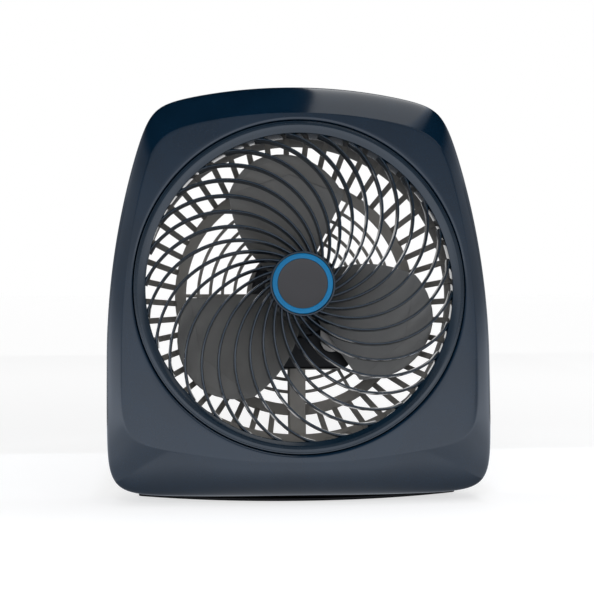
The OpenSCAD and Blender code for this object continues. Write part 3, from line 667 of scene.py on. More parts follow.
class Workshop:
    """Makes Blender pieces from shells and dresses them."""

    def __init__(self, place: FanPlace, finishes: Mapping[Slot, bpy.types.Material]) -> None:
        """Keeps the fan's place and the finished materials."""
        self.place = place
        self.finishes = finishes

    def mesh(self, name: str, shell: Shell, in_row: bool = False) -> bpy.types.Object:
        """Turns a shell into an object, with its doubles merged and its faces outwards.

        Args:
            name: the object's name.
            shell: the grids.
            in_row: whether the points are in the row frame already, in millimetres.

        Returns:
            The object, at the origin.
        """
        points = np.concatenate(shell.points)
        points = points * MM if in_row else self.place.row(points)
        mesh = bpy.data.meshes.new(name)
        mesh.from_pydata(points.tolist(), [], np.concatenate(shell.faces).tolist())
        work = bmesh.new()
        work.from_mesh(mesh)
        bmesh.ops.remove_doubles(work, verts=work.verts, dist=MERGE_M)
        bmesh.ops.dissolve_degenerate(work, edges=work.edges, dist=DEGENERATE_M)
        bmesh.ops.recalc_face_normals(work, faces=work.faces)
        work.to_mesh(mesh)
        work.free()
        return link(name, mesh)

    def carve(self, obj: bpy.types.Object, cutter: Shell, in_row: bool = False) -> None:
        """Takes a shell's volume out of an object.

        Args:
            obj: the object, whose mesh is replaced.
            cutter: closed grids that don't overlap each other.
            in_row: whether the cutter is in the row frame.
        """
        tool = self.mesh("cutter", cutter, in_row)
        modifier = obj.modifiers.new("carve", "BOOLEAN")
        modifier.object = tool
        modifier.solver = "EXACT"
        bpy.context.view_layer.update()
        graph = bpy.context.evaluated_depsgraph_get()
        carved = bpy.data.meshes.new_from_object(obj.evaluated_get(graph))
        obj.modifiers.clear()
        obj.data = carved
        bpy.data.objects.remove(tool)

    def join(self, obj: bpy.types.Object, shell: Shell) -> None:
        """Adds a shell to an object's mesh as it stands.

        Args:
            obj: the object.
            shell: grids in the fan frame.
        """
        other = self.mesh("added", shell)
        work = bmesh.new()
        work.from_mesh(obj.data)
        work.from_mesh(other.data)
        work.to_mesh(obj.data)
        work.free()
        bpy.data.objects.remove(other)

    def dress(
        self, obj: bpy.types.Object, slot: Slot, body: Rider, nodes: Sequence[str], sharp: float = 38
    ) -> None:
        """Gives a piece its finish, its shading, its body and the nodes that it stands for.

        Args:
            obj: the piece.
            slot: the record's slot.
            body: the body that it moves with.
            nodes: CAD nodes that it replaces.
            sharp: angle in degrees above which an edge stays crisp.
        """
        obj.data.materials.clear()
        obj.data.materials.append(self.finishes[slot])
        obj.data.polygons.foreach_set("use_smooth", np.ones(len(obj.data.polygons), bool))
        obj.data.set_sharp_from_angle(angle=math.radians(sharp))
        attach(obj, body.value)
        if nodes:
            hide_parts(*nodes)
        count = len(obj.data.polygons)
        LOG.info("%s: %d faces, finish %s, moves with %s", obj.name, count, slot.value, body.value)

    def piece(
        self, name: str, shell: Shell, slot: Slot, nodes: Sequence[str], body: Rider = Rider.BODY,
        cutter: Shell | None = None, in_row: bool = False, sharp: float = 38,
    ) -> bpy.types.Object:
        """Makes and dresses a piece.

        Args:
            name: the piece's name.
            shell: its grids.
            slot: the record's slot.
            nodes: CAD nodes that it replaces.
            body: the body that it moves with.
            cutter: volume to take out.
            in_row: whether the points are in the row frame.
            sharp: angle in degrees above which an edge stays crisp.

        Returns:
            The piece.
        """
        obj = self.mesh(name, shell, in_row)
        if cutter is not None:
            self.carve(obj, cutter, in_row)
        self.dress(obj, slot, body, nodes, sharp)
        return obj


# ---- Body shells ----


@dataclass(frozen=True)
class Outline:
    """Rounded outline about the fan axis: the smooth least of the distances to its four arcs."""

    top: float
    bottom: float
    side: float
    sharp_up: float
    sharp_low: float
    widest_drop: float = 51
    top_arc: float = 410
    bottom_arc: float = 4000
    upper_side_arc: float = 578
    lower_side_arc: float = 3600

    def radius(self, angles: Array) -> Array:
        """Distance from the axis to the outline.

        A ray leaves a circle of centre (cx, cz) and radius R at b + sqrt(b^2 - cx^2 - cz^2 + R^2), with
        b = cx cos a + cz sin a. The three distances q are joined as (sum of q^-p)^(-1/p).

        Args:
            angles: directions in radians, from x towards z.

        Returns:
            The distances.
        """
        c, s = np.abs(np.cos(angles)), np.sin(angles)

        def leave(cx: float, cz: float, big: float) -> Array:
            """Distance at which the rays leave one circle."""
            b = c * cx + s * cz
            return b + np.sqrt(b * b - cx * cx - cz * cz + big * big)

        widest = -self.widest_drop
        upper = leave(self.side - self.upper_side_arc, widest, self.upper_side_arc)
        lower = leave(self.side - self.lower_side_arc, widest, self.lower_side_arc)
        flank = np.where(upper * s > widest, upper, lower)
        roof = leave(0, self.top - self.top_arc, self.top_arc)
        sill = leave(0, self.bottom_arc - self.bottom, self.bottom_arc)
        p = (self.sharp_up + self.sharp_low) / 2 + (self.sharp_up - self.sharp_low) / 2 * s
        return (flank**-p + roof**-p + sill**-p) ** (-1 / p)


@dataclass(frozen=True)
class ShellForm:
    """Shared form of the two body shells. The crown's clearance keeps the face inside the part's box."""

    body: Outline = Outline(top=158.37, bottom=158, side=146.99, sharp_up=26, sharp_low=12)
    face: Outline = Outline(top=132.6, bottom=132.4, side=135.4, sharp_up=17, sharp_low=16, bottom_arc=530)
    crown_r: float = 700
    crown_clear: float = 0.02
    bevel_depth: float = 24
    bevel_turn: float = math.radians(50)
    soft_turn: float = math.radians(36)
    soft_from: float = 0.80
    soft_to: float = 0.97
    parting_y: float = 32
    seam: float = 0.3
    wall: float = 2.5
    columns: int = 480

    @property
    def angles(self) -> Array:
        """Directions of the loft's columns."""
        return turned(self.columns)

    def crown(self, x: Array) -> Array:
        """Sag of the crowned face: R - sqrt(R^2 - x^2)."""
        return self.crown_r - np.sqrt(self.crown_r**2 - x**2)

    def ring(self, radius: Array | float, depth: Array | float, crowned: Array | float = 0) -> Array:
        """Ring of points (r cos a, depth, r sin a) at given distances r from the axis.

        Args:
            radius: distance, the same all round or one for each column.
            depth: depth of the ring.
            crowned: share of the face's crown that is added to the depth.

        Returns:
            The ring's points.
        """
        x = radius * np.cos(self.angles)
        return coords(x, depth + crowned * (self.crown(x) + self.crown_clear), radius * np.sin(self.angles))

    def level(self, blend: Any, inset: float, depth: Array | float, crowned: Array | float) -> Array:
        """Ring between the body outline and the face outline, less an inset.

        Args:
            blend: 0 on the body outline and 1 on the face outline.
            inset: distance by which the ring lies within.
            depth: depth of the ring.
            crowned: share of the face's crown that is added to the depth.

        Returns:
            The ring's points.
        """
        radius = (1 - blend) * self.body.radius(self.angles) + blend * self.face.radius(self.angles) - inset
        return self.ring(radius, depth, crowned)

    def bevel(self, t: float, inset: float = 0) -> Array:
        """Ring of the bevel's rounded section.

        The blend is (1 - cos tT) / (1 - cos T) and the rise sin tT / sin T, with T the bevel's turn, which
        grows along the lower edge so that the face rolls over into it.

        Args:
            t: share of the way from the outer edge to the face's edge.
            inset: distance by which the ring lies within.

        Returns:
            The ring's points.
        """
        turn = self.bevel_turn + self.soft_turn * smooth(-np.sin(self.angles), self.soft_from, self.soft_to)
        blend = (1 - np.cos(t * turn)) / (1 - np.cos(turn))
        rise = np.sin(t * turn) / np.sin(turn)
        return self.level(blend, inset, self.bevel_depth * (1 - rise) + inset * rise, rise)


@dataclass(frozen=True)
class FrontBezel:
    """One-piece front shell with a crowned face, a wide bevel and a round opening."""

    form: ShellForm
    opening_r: float = 127.2
    rim: float = 2
    ledge_y: float = 27
    ledge_in_r: float = 121.5
    bevel_rings: int = 18
    bevel_end: float = 0.9
    crease_cut: float = 1.1
    edge_cut: float = 0.45
    face_rings: int = 9
    rim_rings: int = 6

    def rings(self) -> Array:
        """Closed loft: the bevel, the face, the rim's quarter circle and back along the inside.

        Returns:
            Rings by points by 3, from the parting edge round to it.
        """
        f = self.form
        edge_y, back_y = f.parting_y - f.seam / 2, self.ledge_y + f.wall
        rim_r, inner_r, face_r = self.opening_r + self.rim, self.opening_r + f.wall, f.face.radius(f.angles)
        # Each pair is a ring and the cut of its corner.
        pairs = [(f.level(0, 0, edge_y, 0), self.edge_cut)]
        pairs += [(f.bevel(t), 0) for t in np.linspace(0, self.bevel_end, self.bevel_rings)]
        pairs += [(f.bevel(1), self.crease_cut)]
        for w in np.linspace(0, 1, self.face_rings + 1)[1:]:
            pairs += [(f.ring((1 - w) * face_r + w * rim_r, 0, 1), 0)]
        for a in np.linspace(0, math.pi / 2, self.rim_rings + 1)[1:]:
            pairs += [(f.ring(rim_r - self.rim * math.sin(a), self.rim * (1 - math.cos(a)), 1), 0)]
        pairs += [
            (f.ring(self.opening_r, self.ledge_y), 0.5), (f.ring(self.ledge_in_r, self.ledge_y), 0.4),
            (f.ring(self.ledge_in_r, back_y), 0.4), (f.ring(inner_r, back_y), 0.3),
            (f.ring(inner_r, f.wall, 1), 0),
        ]
        pairs += [(f.bevel(t, f.wall), 0) for t in (1, 0.66, 0.33, 0)]
        pairs += [(f.level(0, f.wall, edge_y, 0), 0.3)]
        return soften(*zip(*pairs))

    def build(self, shop: Workshop) -> None:
        """Makes the bezel."""
        shell = Shell().grid(self.rings(), wrap_rows=True)
        shop.piece("front_bezel_shell", shell, Slot.HOUSING, ["front_bezel"])


@dataclass(frozen=True)
class RearHousing:
    """Rear shell: a skin that draws in along a quarter of an ellipse, screw wells and dial pips."""

    form: ShellForm
    rear_y: float = 66
    inset: float = 13
    seat_r: float = 123.8
    screws: tuple[tuple[float, float], ...] = ((-92, 110), (92, 110), (-62, -131), (62, -131))
    well_r: float = 3.45
    boss_r: float = 5.2
    screw_hole_r: float = 1.8
    well_y: float = 40
    flare: float = 0.6
    corner: float = 110
    bush_hole_r: float = 6.1
    gland_hole_r: float = 6.9
    pip_circle_r: float = 19.5
    pip_turns: tuple[float, ...] = (0, 45, 90, 135)
    pip_r: float = 0.9
    pip_growth: float = 0.25
    pip_sink: float = 0.2
    pip_h: float = 0.45
    bore_front: float = 4
    bore_back: float = 2
    skin_rings: int = 18
    rear_rings: int = 7

    def skin_line(self, t: Any) -> tuple[Any, Any]:
        """Inset and depth of the outer skin, t from the parting edge (0) to the rear face (1).

        The inset is I (1 - cos 90t) and the depth runs with sin 90t.

        Args:
            t: share of the way, one or many.

        Returns:
            The inset and the depth.
        """
        start = self.form.parting_y + self.form.seam / 2
        a = t * math.pi / 2
        return self.inset * (1 - np.cos(a)), start + (self.rear_y - start) * np.sin(a)

    def skin(self, t: float, wall: float = 0) -> Array:
        """Ring of the skin, or of its inside when a wall is given."""
        inset, depth = self.skin_line(t)
        return self.form.level(0, inset + wall, depth - wall * t, 0)

    def rings(self) -> Array:
        """Closed loft over the skin and the rear face and back along the inside.

        Returns:
            Rings by points by 3.
        """
        f = self.form
        end_r, inner_y = f.body.radius(f.angles) - self.inset, self.rear_y - f.wall
        shares = np.linspace(0, 1, self.rear_rings)[1:]
        rear = [f.ring((1 - w) * end_r + w * self.seat_r, self.rear_y) for w in shares]
        # Each pair is a ring and the cut of its corner.
        pairs = [(self.skin(0), 0.45)]
        pairs += [(self.skin(t), 0) for t in np.linspace(0, 1, self.skin_rings)[1:]]
        pairs += [(ring, 0) for ring in rear[:-1]] + [(rear[-1], 0.4)]
        pairs += [(f.ring(self.seat_r, inner_y), 0), (f.ring(end_r - f.wall * 0.3, inner_y), 0)]
        pairs += [(self.skin(t, f.wall), 0) for t in (0.8, 0.65, 0.5, 0.35, 0.2)]
        pairs += [(self.skin(0, f.wall), 0.3)]
        return soften(*zip(*pairs))

    def build(self, shop: Workshop) -> None:
        """Makes the housing, with its wells, its bosses and the raised pips of the speed scale.

        Args:
            shop: the workshop.
        """
        cutter, wells, pips = Shell(), Shell(), Shell()
        well = [
            (self.well_r, self.well_y), (self.well_r, self.rear_y - 1), (self.boss_r, self.rear_y - 1),
            (self.boss_r, self.form.parting_y), (self.screw_hole_r, self.form.parting_y),
            (self.screw_hole_r, self.well_y),
        ]
        for centre in self.screws:
            wells.revolve(soften(well, [0.2] * 6, steps=2), count=40, centre=centre)
            self.bore(cutter, self.well_r, centre)
        self.bore(cutter, self.bush_hole_r, (-self.corner, -self.corner))
        self.bore(cutter, self.gland_hole_r, (self.corner, -self.corner))
        obj = shop.mesh("rear_housing_shell", Shell().grid(self.rings(), wrap_rows=True))
        shop.carve(obj, cutter)
        shop.join(obj, wells)
        shop.dress(obj, Slot.HOUSING, Rider.BODY, ["rear_housing"])
        for i, a in enumerate(np.radians(self.pip_turns)):
            x, z = -self.pip_circle_r * math.cos(a), self.pip_circle_r * math.sin(a)
            low, high = self.rear_y - self.pip_sink, self.rear_y + self.pip_h
            dome = peg(low, high, self.pip_r + self.pip_growth * i, 0, 0.4)
            pips.revolve(dome, closed=False, count=24, centre=(x - self.corner, z - self.corner))
        shop.piece("speed_scale_pips", pips, Slot.WHITE, [])

    def bore(self, cutter: Shell, radius: float, centre: tuple[float, float]) -> None:
        """Adds a cutter through the rear wall, widened by a flare at the rear face.

        Args:
            cutter: the cutters' shell.
            radius: the hole's radius.
            centre: x and z of the hole.
        """
        y, wide = self.rear_y, radius + self.flare
        low, high = y - self.bore_front, y + self.bore_back
        section = [(0, low), (radius, low), (radius, y - self.flare), (wide, y), (wide, high), (0, high)]
        cutter.revolve(np.array(section, float), closed=False, count=40, centre=centre)


# ---- Front grille and badge ----


@dataclass(frozen=True)
class FrontGrille:
    """Hub, spiral ribs on a shallow dome and a crowned ring with a sloping lip."""

    form: ShellForm
    ring_r: float = 126.5
    ring_in_r: float = 117.4
    band: float = 3.4
    sink: float = 0.6
    lip: float = 2.4
    roll: float = 3.7
    roll_drop: float = 0.5
    slope: float = 3.0
    fall: float = 0.2
    bead_w: float = 0.9
    rear_y: float = 26.7
    hub_r: float = 24.5
    hub_wall: float = 4
    hub_front: float = -10.17
    hub_depth: float = 8
    recess_r: float = 23
    recess: float = 2.3
    count: int = 30
    rib_w: float = 2.7
    rib_front_w: float = 1.1
    rib_depth: float = 9.0
    gusset_len: float = 6
    fillet_len: float = 4
    arc_r: float = 71.5
    arc_offset: float = 60
    phase: float = math.radians(2.5)
    dome_y: float = -8.5
    end_y: float = 5
    steps: int = 44

    def ring_rings(self) -> Array:
        """Closed loft of the outer ring, rounded where its band turns into the lip.

        Returns:
            Rings by points by 3.
        """
        ring, out_r, in_r, top_y = self.form.ring, self.ring_r, self.ring_in_r, self.sink
        bead_r, bead_y = out_r - self.bead_w, top_y + 0.6
        # Each pair is a ring and the cut of its corner.
        pairs = [
            (ring(out_r, self.rear_y), 0.4), (ring(out_r, bead_y, 1), 0.4), (ring(bead_r, bead_y, 1), 0.25),
            (ring(bead_r - 0.3, top_y + self.fall, 1), 0.3), (ring(out_r - self.slope, top_y, 1), 0.2),
            (ring(out_r - self.band, top_y, 1), 0.4),
            (ring(in_r + self.roll, top_y + self.roll_drop, 1), 1.0),
            (ring(in_r, top_y + self.lip, 1), 0.7), (ring(in_r + 1, self.rear_y), 0.3),
        ]
        return soften(*zip(*pairs), steps=5)

    def rib_turn(self, r: float) -> float:
        """Turn about a rib's arc centre at which the rib is r from the axis, by the cosine rule."""
        return math.acos((r * r - self.arc_offset**2 - self.arc_r**2) / (2 * self.arc_offset * self.arc_r))

    def rib(self, index: int) -> Array:
        """Rings of one rib.

        At turn t the middle line is (O + R cos t, -R sin t), and a point w across lies at R + w. Its front
        edge is on the dome: y = d + (e - d) u^2 plus the face's crown, with u the share of the way out.
        The section widens into a gusset where it meets the ring and into a fillet where it meets the hub.

        Args:
            index: number of the rib.

        Returns:
            Rings by points by 3.
        """
        start_r, end_r = self.hub_r - 0.8, self.ring_in_r + 1.4
        t = np.linspace(self.rib_turn(start_r), self.rib_turn(end_r), self.steps)[:, None]
        half, edge = self.rib_w / 2, self.rib_front_w / 2
        section = profile(
            [(-edge, 0, 0.49), (-half, self.rib_depth, 0.6), (half, self.rib_depth, 0.6), (edge, 0, 0.49)]
        )
        middle_r = np.sqrt(self.arc_offset**2 + self.arc_r**2 + 2 * self.arc_offset * self.arc_r * np.cos(t))
        gusset = smooth(middle_r, end_r - self.gusset_len, end_r)
        fillet = smooth(-middle_r, -start_r - self.fillet_len, -start_r)
        radius = self.arc_r + section[:, 0] * (1 + gusset**2 + 0.25 * fillet)
        back = section[:, 1] * (1 + 0.25 * gusset)
        points = coords(self.arc_offset + radius * np.cos(t), 0.0, -radius * np.sin(t))
        points = spin_about_axis(points, self.phase + index * 2 * math.pi / self.count)
        share = (np.hypot(points[..., 0], points[..., 2]) - start_r) / (end_r - start_r)
        dome = self.dome_y + (self.end_y - self.dome_y) * share**2
        points[..., 1] = dome + self.form.crown(points[..., 0]) + back
        return points

    def build(self, shop: Workshop) -> None:
        """Makes the grille.

        Args:
            shop: the workshop.
        """
        shell = Shell().grid(self.ring_rings(), wrap_rows=True)
        for i in range(self.count):
            shell.capped(self.rib(i))
        front, back, inner = self.hub_front, self.hub_front + self.hub_depth, self.hub_r - self.hub_wall
        floor = front + self.recess
        hub = [
            (0, floor, 0), (self.recess_r, floor, 0.3), (self.recess_r, front, 0.45),
            (self.hub_r, front, 0.9), (self.hub_r, back, 0.5), (inner, back, 0.5),
            (inner, floor + 2, 0.5), (0, floor + 2, 0),
        ]
        shell.revolve(profile(hub, closed=False), closed=False, count=144)
        shop.piece("front_grille_spiral", shell, Slot.GRILLE, ["front_grille"])


@dataclass(frozen=True)
class Badge:
    """Coloured ring and bare disc in the grille hub's recess."""

    ring_r: float = 22.7
    ring_w: float = 3.9
    thick: float = 2
    back_y: float = -7.9
    disc_sink: float = 0.3
    dish: float = 0.35
    dish_points: int = 14

    def build(self, shop: Workshop) -> None:
        """Makes the ring, and the disc with a dish of depth D (1 - u^4) at the share u of its radius.

        Args:
            shop: the workshop.
        """
        disc_r, front = self.ring_r - self.ring_w, self.back_y - self.thick
        ring = plate(front, self.back_y, disc_r, self.ring_r, 0.5)
        shop.piece("badge_ring_gloss", Shell().revolve(ring, count=144), Slot.BADGE_BLUE, ["badge_ring"])
        out_r, face = disc_r - 0.1, front + self.disc_sink
        radii = np.linspace(0, out_r - 0.5, self.dish_points)
        dish = coords(radii, face + self.dish * (1 - (radii / out_r) ** 4))
        rim = [(*dish[-1], 0), (out_r, face, 0.3), (out_r, self.back_y, 0.2), (0, self.back_y, 0)]
        section = np.concatenate([dish, profile(rim, closed=False)[1:]])
        disc = Shell().revolve(section, closed=False, count=144)
        shop.piece("badge_disc_bare", disc, Slot.BADGE_GREY, ["badge_disc"])


# ---- Impeller and motor ----


@dataclass(frozen=True)
class Impeller:
    """Hub cap and three broad swept blades."""

    tip_r: float = 108
    fullest: float = 0.65
    lead_loss: float = 0.22
    trail_loss: float = 0.156
    hub_r: float = 26
    hub_wall: float = 2.5
    sleeve_wall: float = 4.5
    front_y: float = 21
    rear_y: float = 42.5
    thick: float = 2
    sweep: float = 3.5
    camber: float = 2.5
    lead: float = math.radians(64)
    trail: float = math.radians(152)
    swing: float = math.radians(0.385)
    blades: int = 3
    shaft_r: float = 4.05
    rows: int = 34
    half: int = 26

    def reach(self, s: Array) -> Array:
        """Tip radius across the chord, a rounded lobe.

        It is the tip radius times 1 - L p^2 before the fullest place and 1 - T q^2.5 after it, with p and q
        the shares of the way from that place to the leading and the trailing edge, and L and T the losses.

        Args:
            s: shares of the chord.

        Returns:
            The radii.
        """
        lead_side = 1 - self.lead_loss * np.clip(1 - s / self.fullest, 0, 1) ** 2
        trail_side = 1 - self.trail_loss * np.clip((s - self.fullest) / (1 - self.fullest), 0, 1) ** 2.5
        return self.tip_r * np.where(s < self.fullest, lead_side, trail_side)

    def blade(self) -> Array:
        """Rings of one blade, closed round its section.

        At share v of the span and s of the chord the radius is root + v (reach(s) - root), the angle runs
        from the leading to the trailing edge, and the depth falls from rear to front with a camber that
        runs with sin 180s. Half the thickness closes as (1 - (2s - 1)^8)^0.5 at the edges and
        (1 - v^20)^0.5 at the tip.

        Returns:
            Rings by points by 3.
        """
        root = self.hub_r - 1
        turn = turned(2 * self.half)
        s = (1 - np.cos(turn)) / 2
        side = np.where(turn <= math.pi, -1.0, 1.0)
        v = (1 - (1 - np.linspace(0, 1, self.rows)) ** 1.6)[:, None]
        r = root + v * (self.reach(s) - root)
        a = self.lead + s * (self.trail - self.swing * (r - root) - self.lead)
        rear = self.rear_y - self.thick - self.sweep * v**2
        bow = np.sin(math.pi * s)
        half = self.thick / 2 * (0.35 + 0.65 * bow)
        close = np.sqrt(np.clip(1 - np.abs(2 * s - 1) ** 8, 0, 1)) * np.sqrt(np.clip(1 - v**20, 0, 1))
        y = rear + s * (self.front_y + self.thick - rear) + self.camber * bow + side * half * close
        return around(r, y, a)

    def build(self, shop: Workshop) -> None:
        """Makes the blades and their hub.

        Args:
            shop: the workshop.
        """
        blade, shell = self.blade(), Shell()
        for i in range(self.blades):
            shell.capped(spin_about_axis(blade, i * 2 * math.pi / self.blades))
        front, rear, cap_y = self.front_y - 3.5, self.rear_y + 0.5, self.front_y - 1
        inner, sleeve = self.hub_r - self.hub_wall, self.shaft_r + self.sleeve_wall
        hub = [
            (self.shaft_r, front, 0.3), (self.hub_r, front, 3), (self.hub_r, rear, 0.5), (inner, rear, 0.5),
            (inner, cap_y, 1.2), (sleeve, cap_y, 1.2), (sleeve, rear - 2, 0.4),
            (self.shaft_r, rear - 2, 0.2),
        ]
        shell.revolve(profile(hub), count=128)
        shop.piece("impeller_three_blade", shell, Slot.BLADES, ["impeller"], Rider.ROTOR)


@dataclass(frozen=True)
class MotorPod:
    """Near-black motor cover with a wider block below the shaft, its clip and the cable cover."""

    radius: float = 36
    front_y: float = 47
    rear_y: float = 72
    wall: float = 2
    hole_r: float = 10
    half_w: float = 42
    drop: float = 60
    top: float = -18
    setback: float = 5
    corner: float = 8
    rim: float = 2
    clip_x: float = 26.5
    clip_half: float = 8.5
    clip_top: float = -21
    clip_low: float = -39
    clip_t: float = 1.6
    clip_end: int = 21
    cover_w: float = 13
    cover_wall: float = 1.5
    cover_levels: tuple[float, ...] = (-60, -80, -100, -120.5)

    def block(self) -> Shell:
        """Rounded block: a rounded rectangle in x and z, drawn in by a quarter circle at the front edge.

        Returns:
            The block's shell.
        """
        w, low, c = self.half_w, -self.drop, self.corner
        outline = profile([(-w, low, c), (w, low, c), (w, self.top, 3), (-w, self.top, 3)], steps=8)
        middle = outline.mean(axis=0)
        arm = outline - middle
        turns = np.linspace(0, math.pi / 2, 6)
        inset = self.rim * np.append(1 - np.sin(turns), 0)[:, None, None]
        y = np.append(self.front_y + self.setback + self.rim * (1 - np.cos(turns)), self.rear_y - 0.3)
        flat = middle + arm * (1 - inset / np.abs(arm).max(axis=0))
        return Shell().capped(coords(flat[..., 0], y[:, None], flat[..., 1]))

    def build(self, shop: Workshop) -> None:
        """Makes the pod, the clip and the cable cover.

        Args:
            shop: the workshop.
        """
        front, inner = self.front_y, self.radius - self.wall
        cup = [
            (self.hole_r, front, 0.5), (self.radius, front, 3.5), (self.radius, self.rear_y, 0.3),
            (inner, self.rear_y, 0.3), (inner, front + self.wall, 2), (self.hole_r, front + self.wall, 0.4),
        ]
        shell = self.block().revolve(profile(cup, steps=6), count=128)
        shop.piece("motor_pod_cover", shell, Slot.BLACK, ["motor_pod"])
        self.build_clip(shop)
        self.build_cover(shop)

    def build_clip(self, shop: Workshop) -> None:
        """Makes the lead clip: a stadium plate whose outline shrinks towards its front rim, and its stem.

        Args:
            shop: the workshop.
        """
        half, arc = self.clip_half, np.linspace(math.pi, 2 * math.pi, self.clip_end)
        ends = coords(half * np.cos(arc), self.clip_low + half * np.sin(arc))
        corners = np.concatenate([[(half, self.clip_top), (-half, self.clip_top)], ends])
        outline = soften(corners, [1.5, 1.5] + [0] * self.clip_end, steps=5)
        middle = outline.mean(axis=0)
        inset, y = np.array([(0.06, 0), (0.015, 0.12), (0, 0.45), (0, self.clip_t)]).T[:, :, None]
        flat = middle + (outline - middle) * (1 - inset[..., None])
        front = self.front_y - self.clip_t
        shell = Shell().capped(coords(flat[..., 0] + self.clip_x, front + y, flat[..., 1]))
        stem = bar_section(2, 5, 0.5, 0.3)
        levels = np.array([[-46], [self.clip_low]])
        shell.capped(coords(self.clip_x - 3 + stem[:, 0], self.front_y + stem[:, 1], levels))
        shop.piece("lead_clip_plate", shell, Slot.CLIP, ["lead_clip"])

    def build_cover(self, shop: Workshop) -> None:
        """Makes the cable cover: a rounded channel carried straight down, with its two ends closed.

        Args:
            shop: the workshop.
        """
        half, lead_y = self.cover_w / 2, self.front_y + self.setback + 6
        front, back = lead_y - 4, lead_y + 3.8
        inner, floor = half - self.cover_wall, front + self.cover_wall
        channel = [
            (-half, back, 0.3), (-half, front, 1.2), (half, front, 1.2), (half, back, 0.3),
            (inner, back, 0.3), (inner, floor, 0.6), (-inner, floor, 0.6), (-inner, back, 0.3),
        ]
        section = profile(channel)
        rings = coords(section[:, 0], section[:, 1], np.array(self.cover_levels)[:, None])
        shell = Shell().grid(rings)
        half_count = len(section) // 2
        for ring in (rings[0], rings[-1]):
            shell.grid(np.stack([ring[:half_count], ring[::-1][:half_count]]), wrap_cols=False)
        shop.piece("cable_cover_channel", shell, Slot.GUARD, ["cable_cover"])


# ---- Rear guard ----


@dataclass(frozen=True)
class RearGuard:
    """Duct tube with a flange, sloping bars, a broad band, thin rings, spokes and a centre plate."""

    duct_r: float = 121
    duct_wall: float = 2.5
    duct_front: float = 31.5
    rear_y: float = 66
    flange_r: float = 132.6
    flange_t: float = 2.2
    guard_y: float = 72
    thick: float = 2.5
    band_in: float = 87.5
    band_out: float = 96.5
    bars: int = 48
    bar_w: float = 4.4
    bar_gap: float = math.radians(5.2)
    thin_rings: int = 4
    thin_w: float = 2.6
    spokes: int = 6
    plate_r: float = 39
    strut_w: float = 13
    basket_y: float = 36
    basket_t: float = 3.7
    sill_y: float = 44
    sill_low: float = 111.5
    sill_r: float = 143
    sill_cut: float = 0.5
    bar_cut: float = 0.7
    bar_root: float = 1.5
    bar_sink: float = 0.3
    overlap: float = 1

    def bar(self, width: float, end_y: float, end_t: float, angle: float) -> Array:
        """Rings of a sloping bar from the band to the duct, straight between its two ends.

        Args:
            width: width of the bar.
            end_y: depth of its front side at the duct.
            end_t: its thickness there, front to back.
            angle: turn about the axis, 0 pointing up.

        Returns:
            Rings by points by 3.
        """
        unit = bar_section(width, 4, self.bar_cut, self.bar_cut)
        t = np.linspace(0, 1, 6)[:, None]
        start_r, start_y = self.band_out - self.bar_root, self.guard_y + self.bar_sink
        front = start_y + t * (end_y - start_y)
        depth = np.minimum(end_t, self.guard_y + self.thick - self.bar_sink - front)
        r = start_r + t * (self.duct_r + self.overlap - start_r)
        return spin_about_axis(coords(unit[:, 0], front + depth * unit[:, 1] / 4, r), angle)

    def sill(self) -> Array:
        """Rings of the crescent that closes the lowest part of the duct.

        Its inner edge is a circle of radius R whose lowest point is at r = sill_low, so at a turn a from the
        bottom it lies at sqrt(R^2 - (e sin a)^2) - e cos a, with e = R - sill_low.

        Returns:
            Rings by points by 3.
        """
        e = self.sill_r - self.sill_low
        limit = math.acos((self.sill_r**2 - self.duct_r**2 - e**2) / (2 * self.duct_r * e))
        a = np.linspace(-limit, limit, 61)[:, None]
        inner = np.sqrt(self.sill_r**2 - (e * np.sin(a)) ** 2) - e * np.cos(a)
        inner = np.minimum(inner, self.duct_r + 0.4)
        cut, y0, y1 = self.sill_cut, self.sill_y, self.sill_y + self.thick
        outer = 0 * a + self.duct_r + self.overlap
        r = np.concatenate([inner + cut, inner, inner, inner + cut, outer, outer], axis=1)
        return coords(r * np.sin(a), np.array([y0, y0 + cut, y1 - cut, y1, y1, y0]), -r * np.cos(a))

    def spoke(self, width: float, angle: float) -> Array:
        """Rings of a flat radial bar from the centre plate to the band.

        Args:
            width: width of the bar.
            angle: turn about the axis, 0 pointing up.

        Returns:
            Rings by points by 3.
        """
        section = bar_section(width, self.thick, self.bar_cut, self.bar_cut)
        r = np.linspace(self.plate_r - self.overlap, self.band_in + self.overlap, 4)[:, None]
        return spin_about_axis(coords(section[:, 0], self.guard_y + section[:, 1], r), angle)

    def build(self, shop: Workshop) -> None:
        """Makes the guard.

        Args:
            shop: the workshop.
        """
        out_r, end_y = self.duct_r + self.duct_wall, self.rear_y + self.flange_t
        back_y = self.guard_y + self.thick
        duct = [
            (self.duct_r, self.duct_front, 0.6), (out_r, self.duct_front, 0.6), (out_r, self.rear_y, 0.1),
            (self.flange_r, self.rear_y, 0.3), (self.flange_r, end_y, 0.9), (self.duct_r, end_y, 0.6),
        ]
        shell = Shell().revolve(profile(duct), count=240)
        shell.revolve(plate(self.guard_y, back_y, self.band_in, self.band_out, 0.8), count=240)
        for middle in np.linspace(self.plate_r, self.band_in, self.thin_rings + 2)[1:-1]:
            inner, outer = middle - self.thin_w / 2, middle + self.thin_w / 2
            shell.revolve(plate(self.guard_y, back_y, inner, outer, 0.9), count=144)
        shell.revolve(peg(self.guard_y, back_y, self.plate_r, 0.6, 1.1), closed=False, count=144)
        for turn in turned(self.bars) + math.pi / self.bars:
            if abs(turn - math.pi) > self.bar_gap:
                shell.capped(self.bar(self.bar_w, self.basket_y, self.basket_t, turn))
        shell.capped(self.bar(self.strut_w, self.rear_y - 3.5, self.thick + 1, math.pi))
        shell.capped(self.sill())
        shell.capped(self.spoke(self.strut_w, math.pi))
        for turn in turned(self.spokes) + math.pi / self.spokes:
            shell.capped(self.spoke(self.thin_w, turn))
        shop.piece("rear_guard_web", shell, Slot.GUARD, ["rear_guard"])


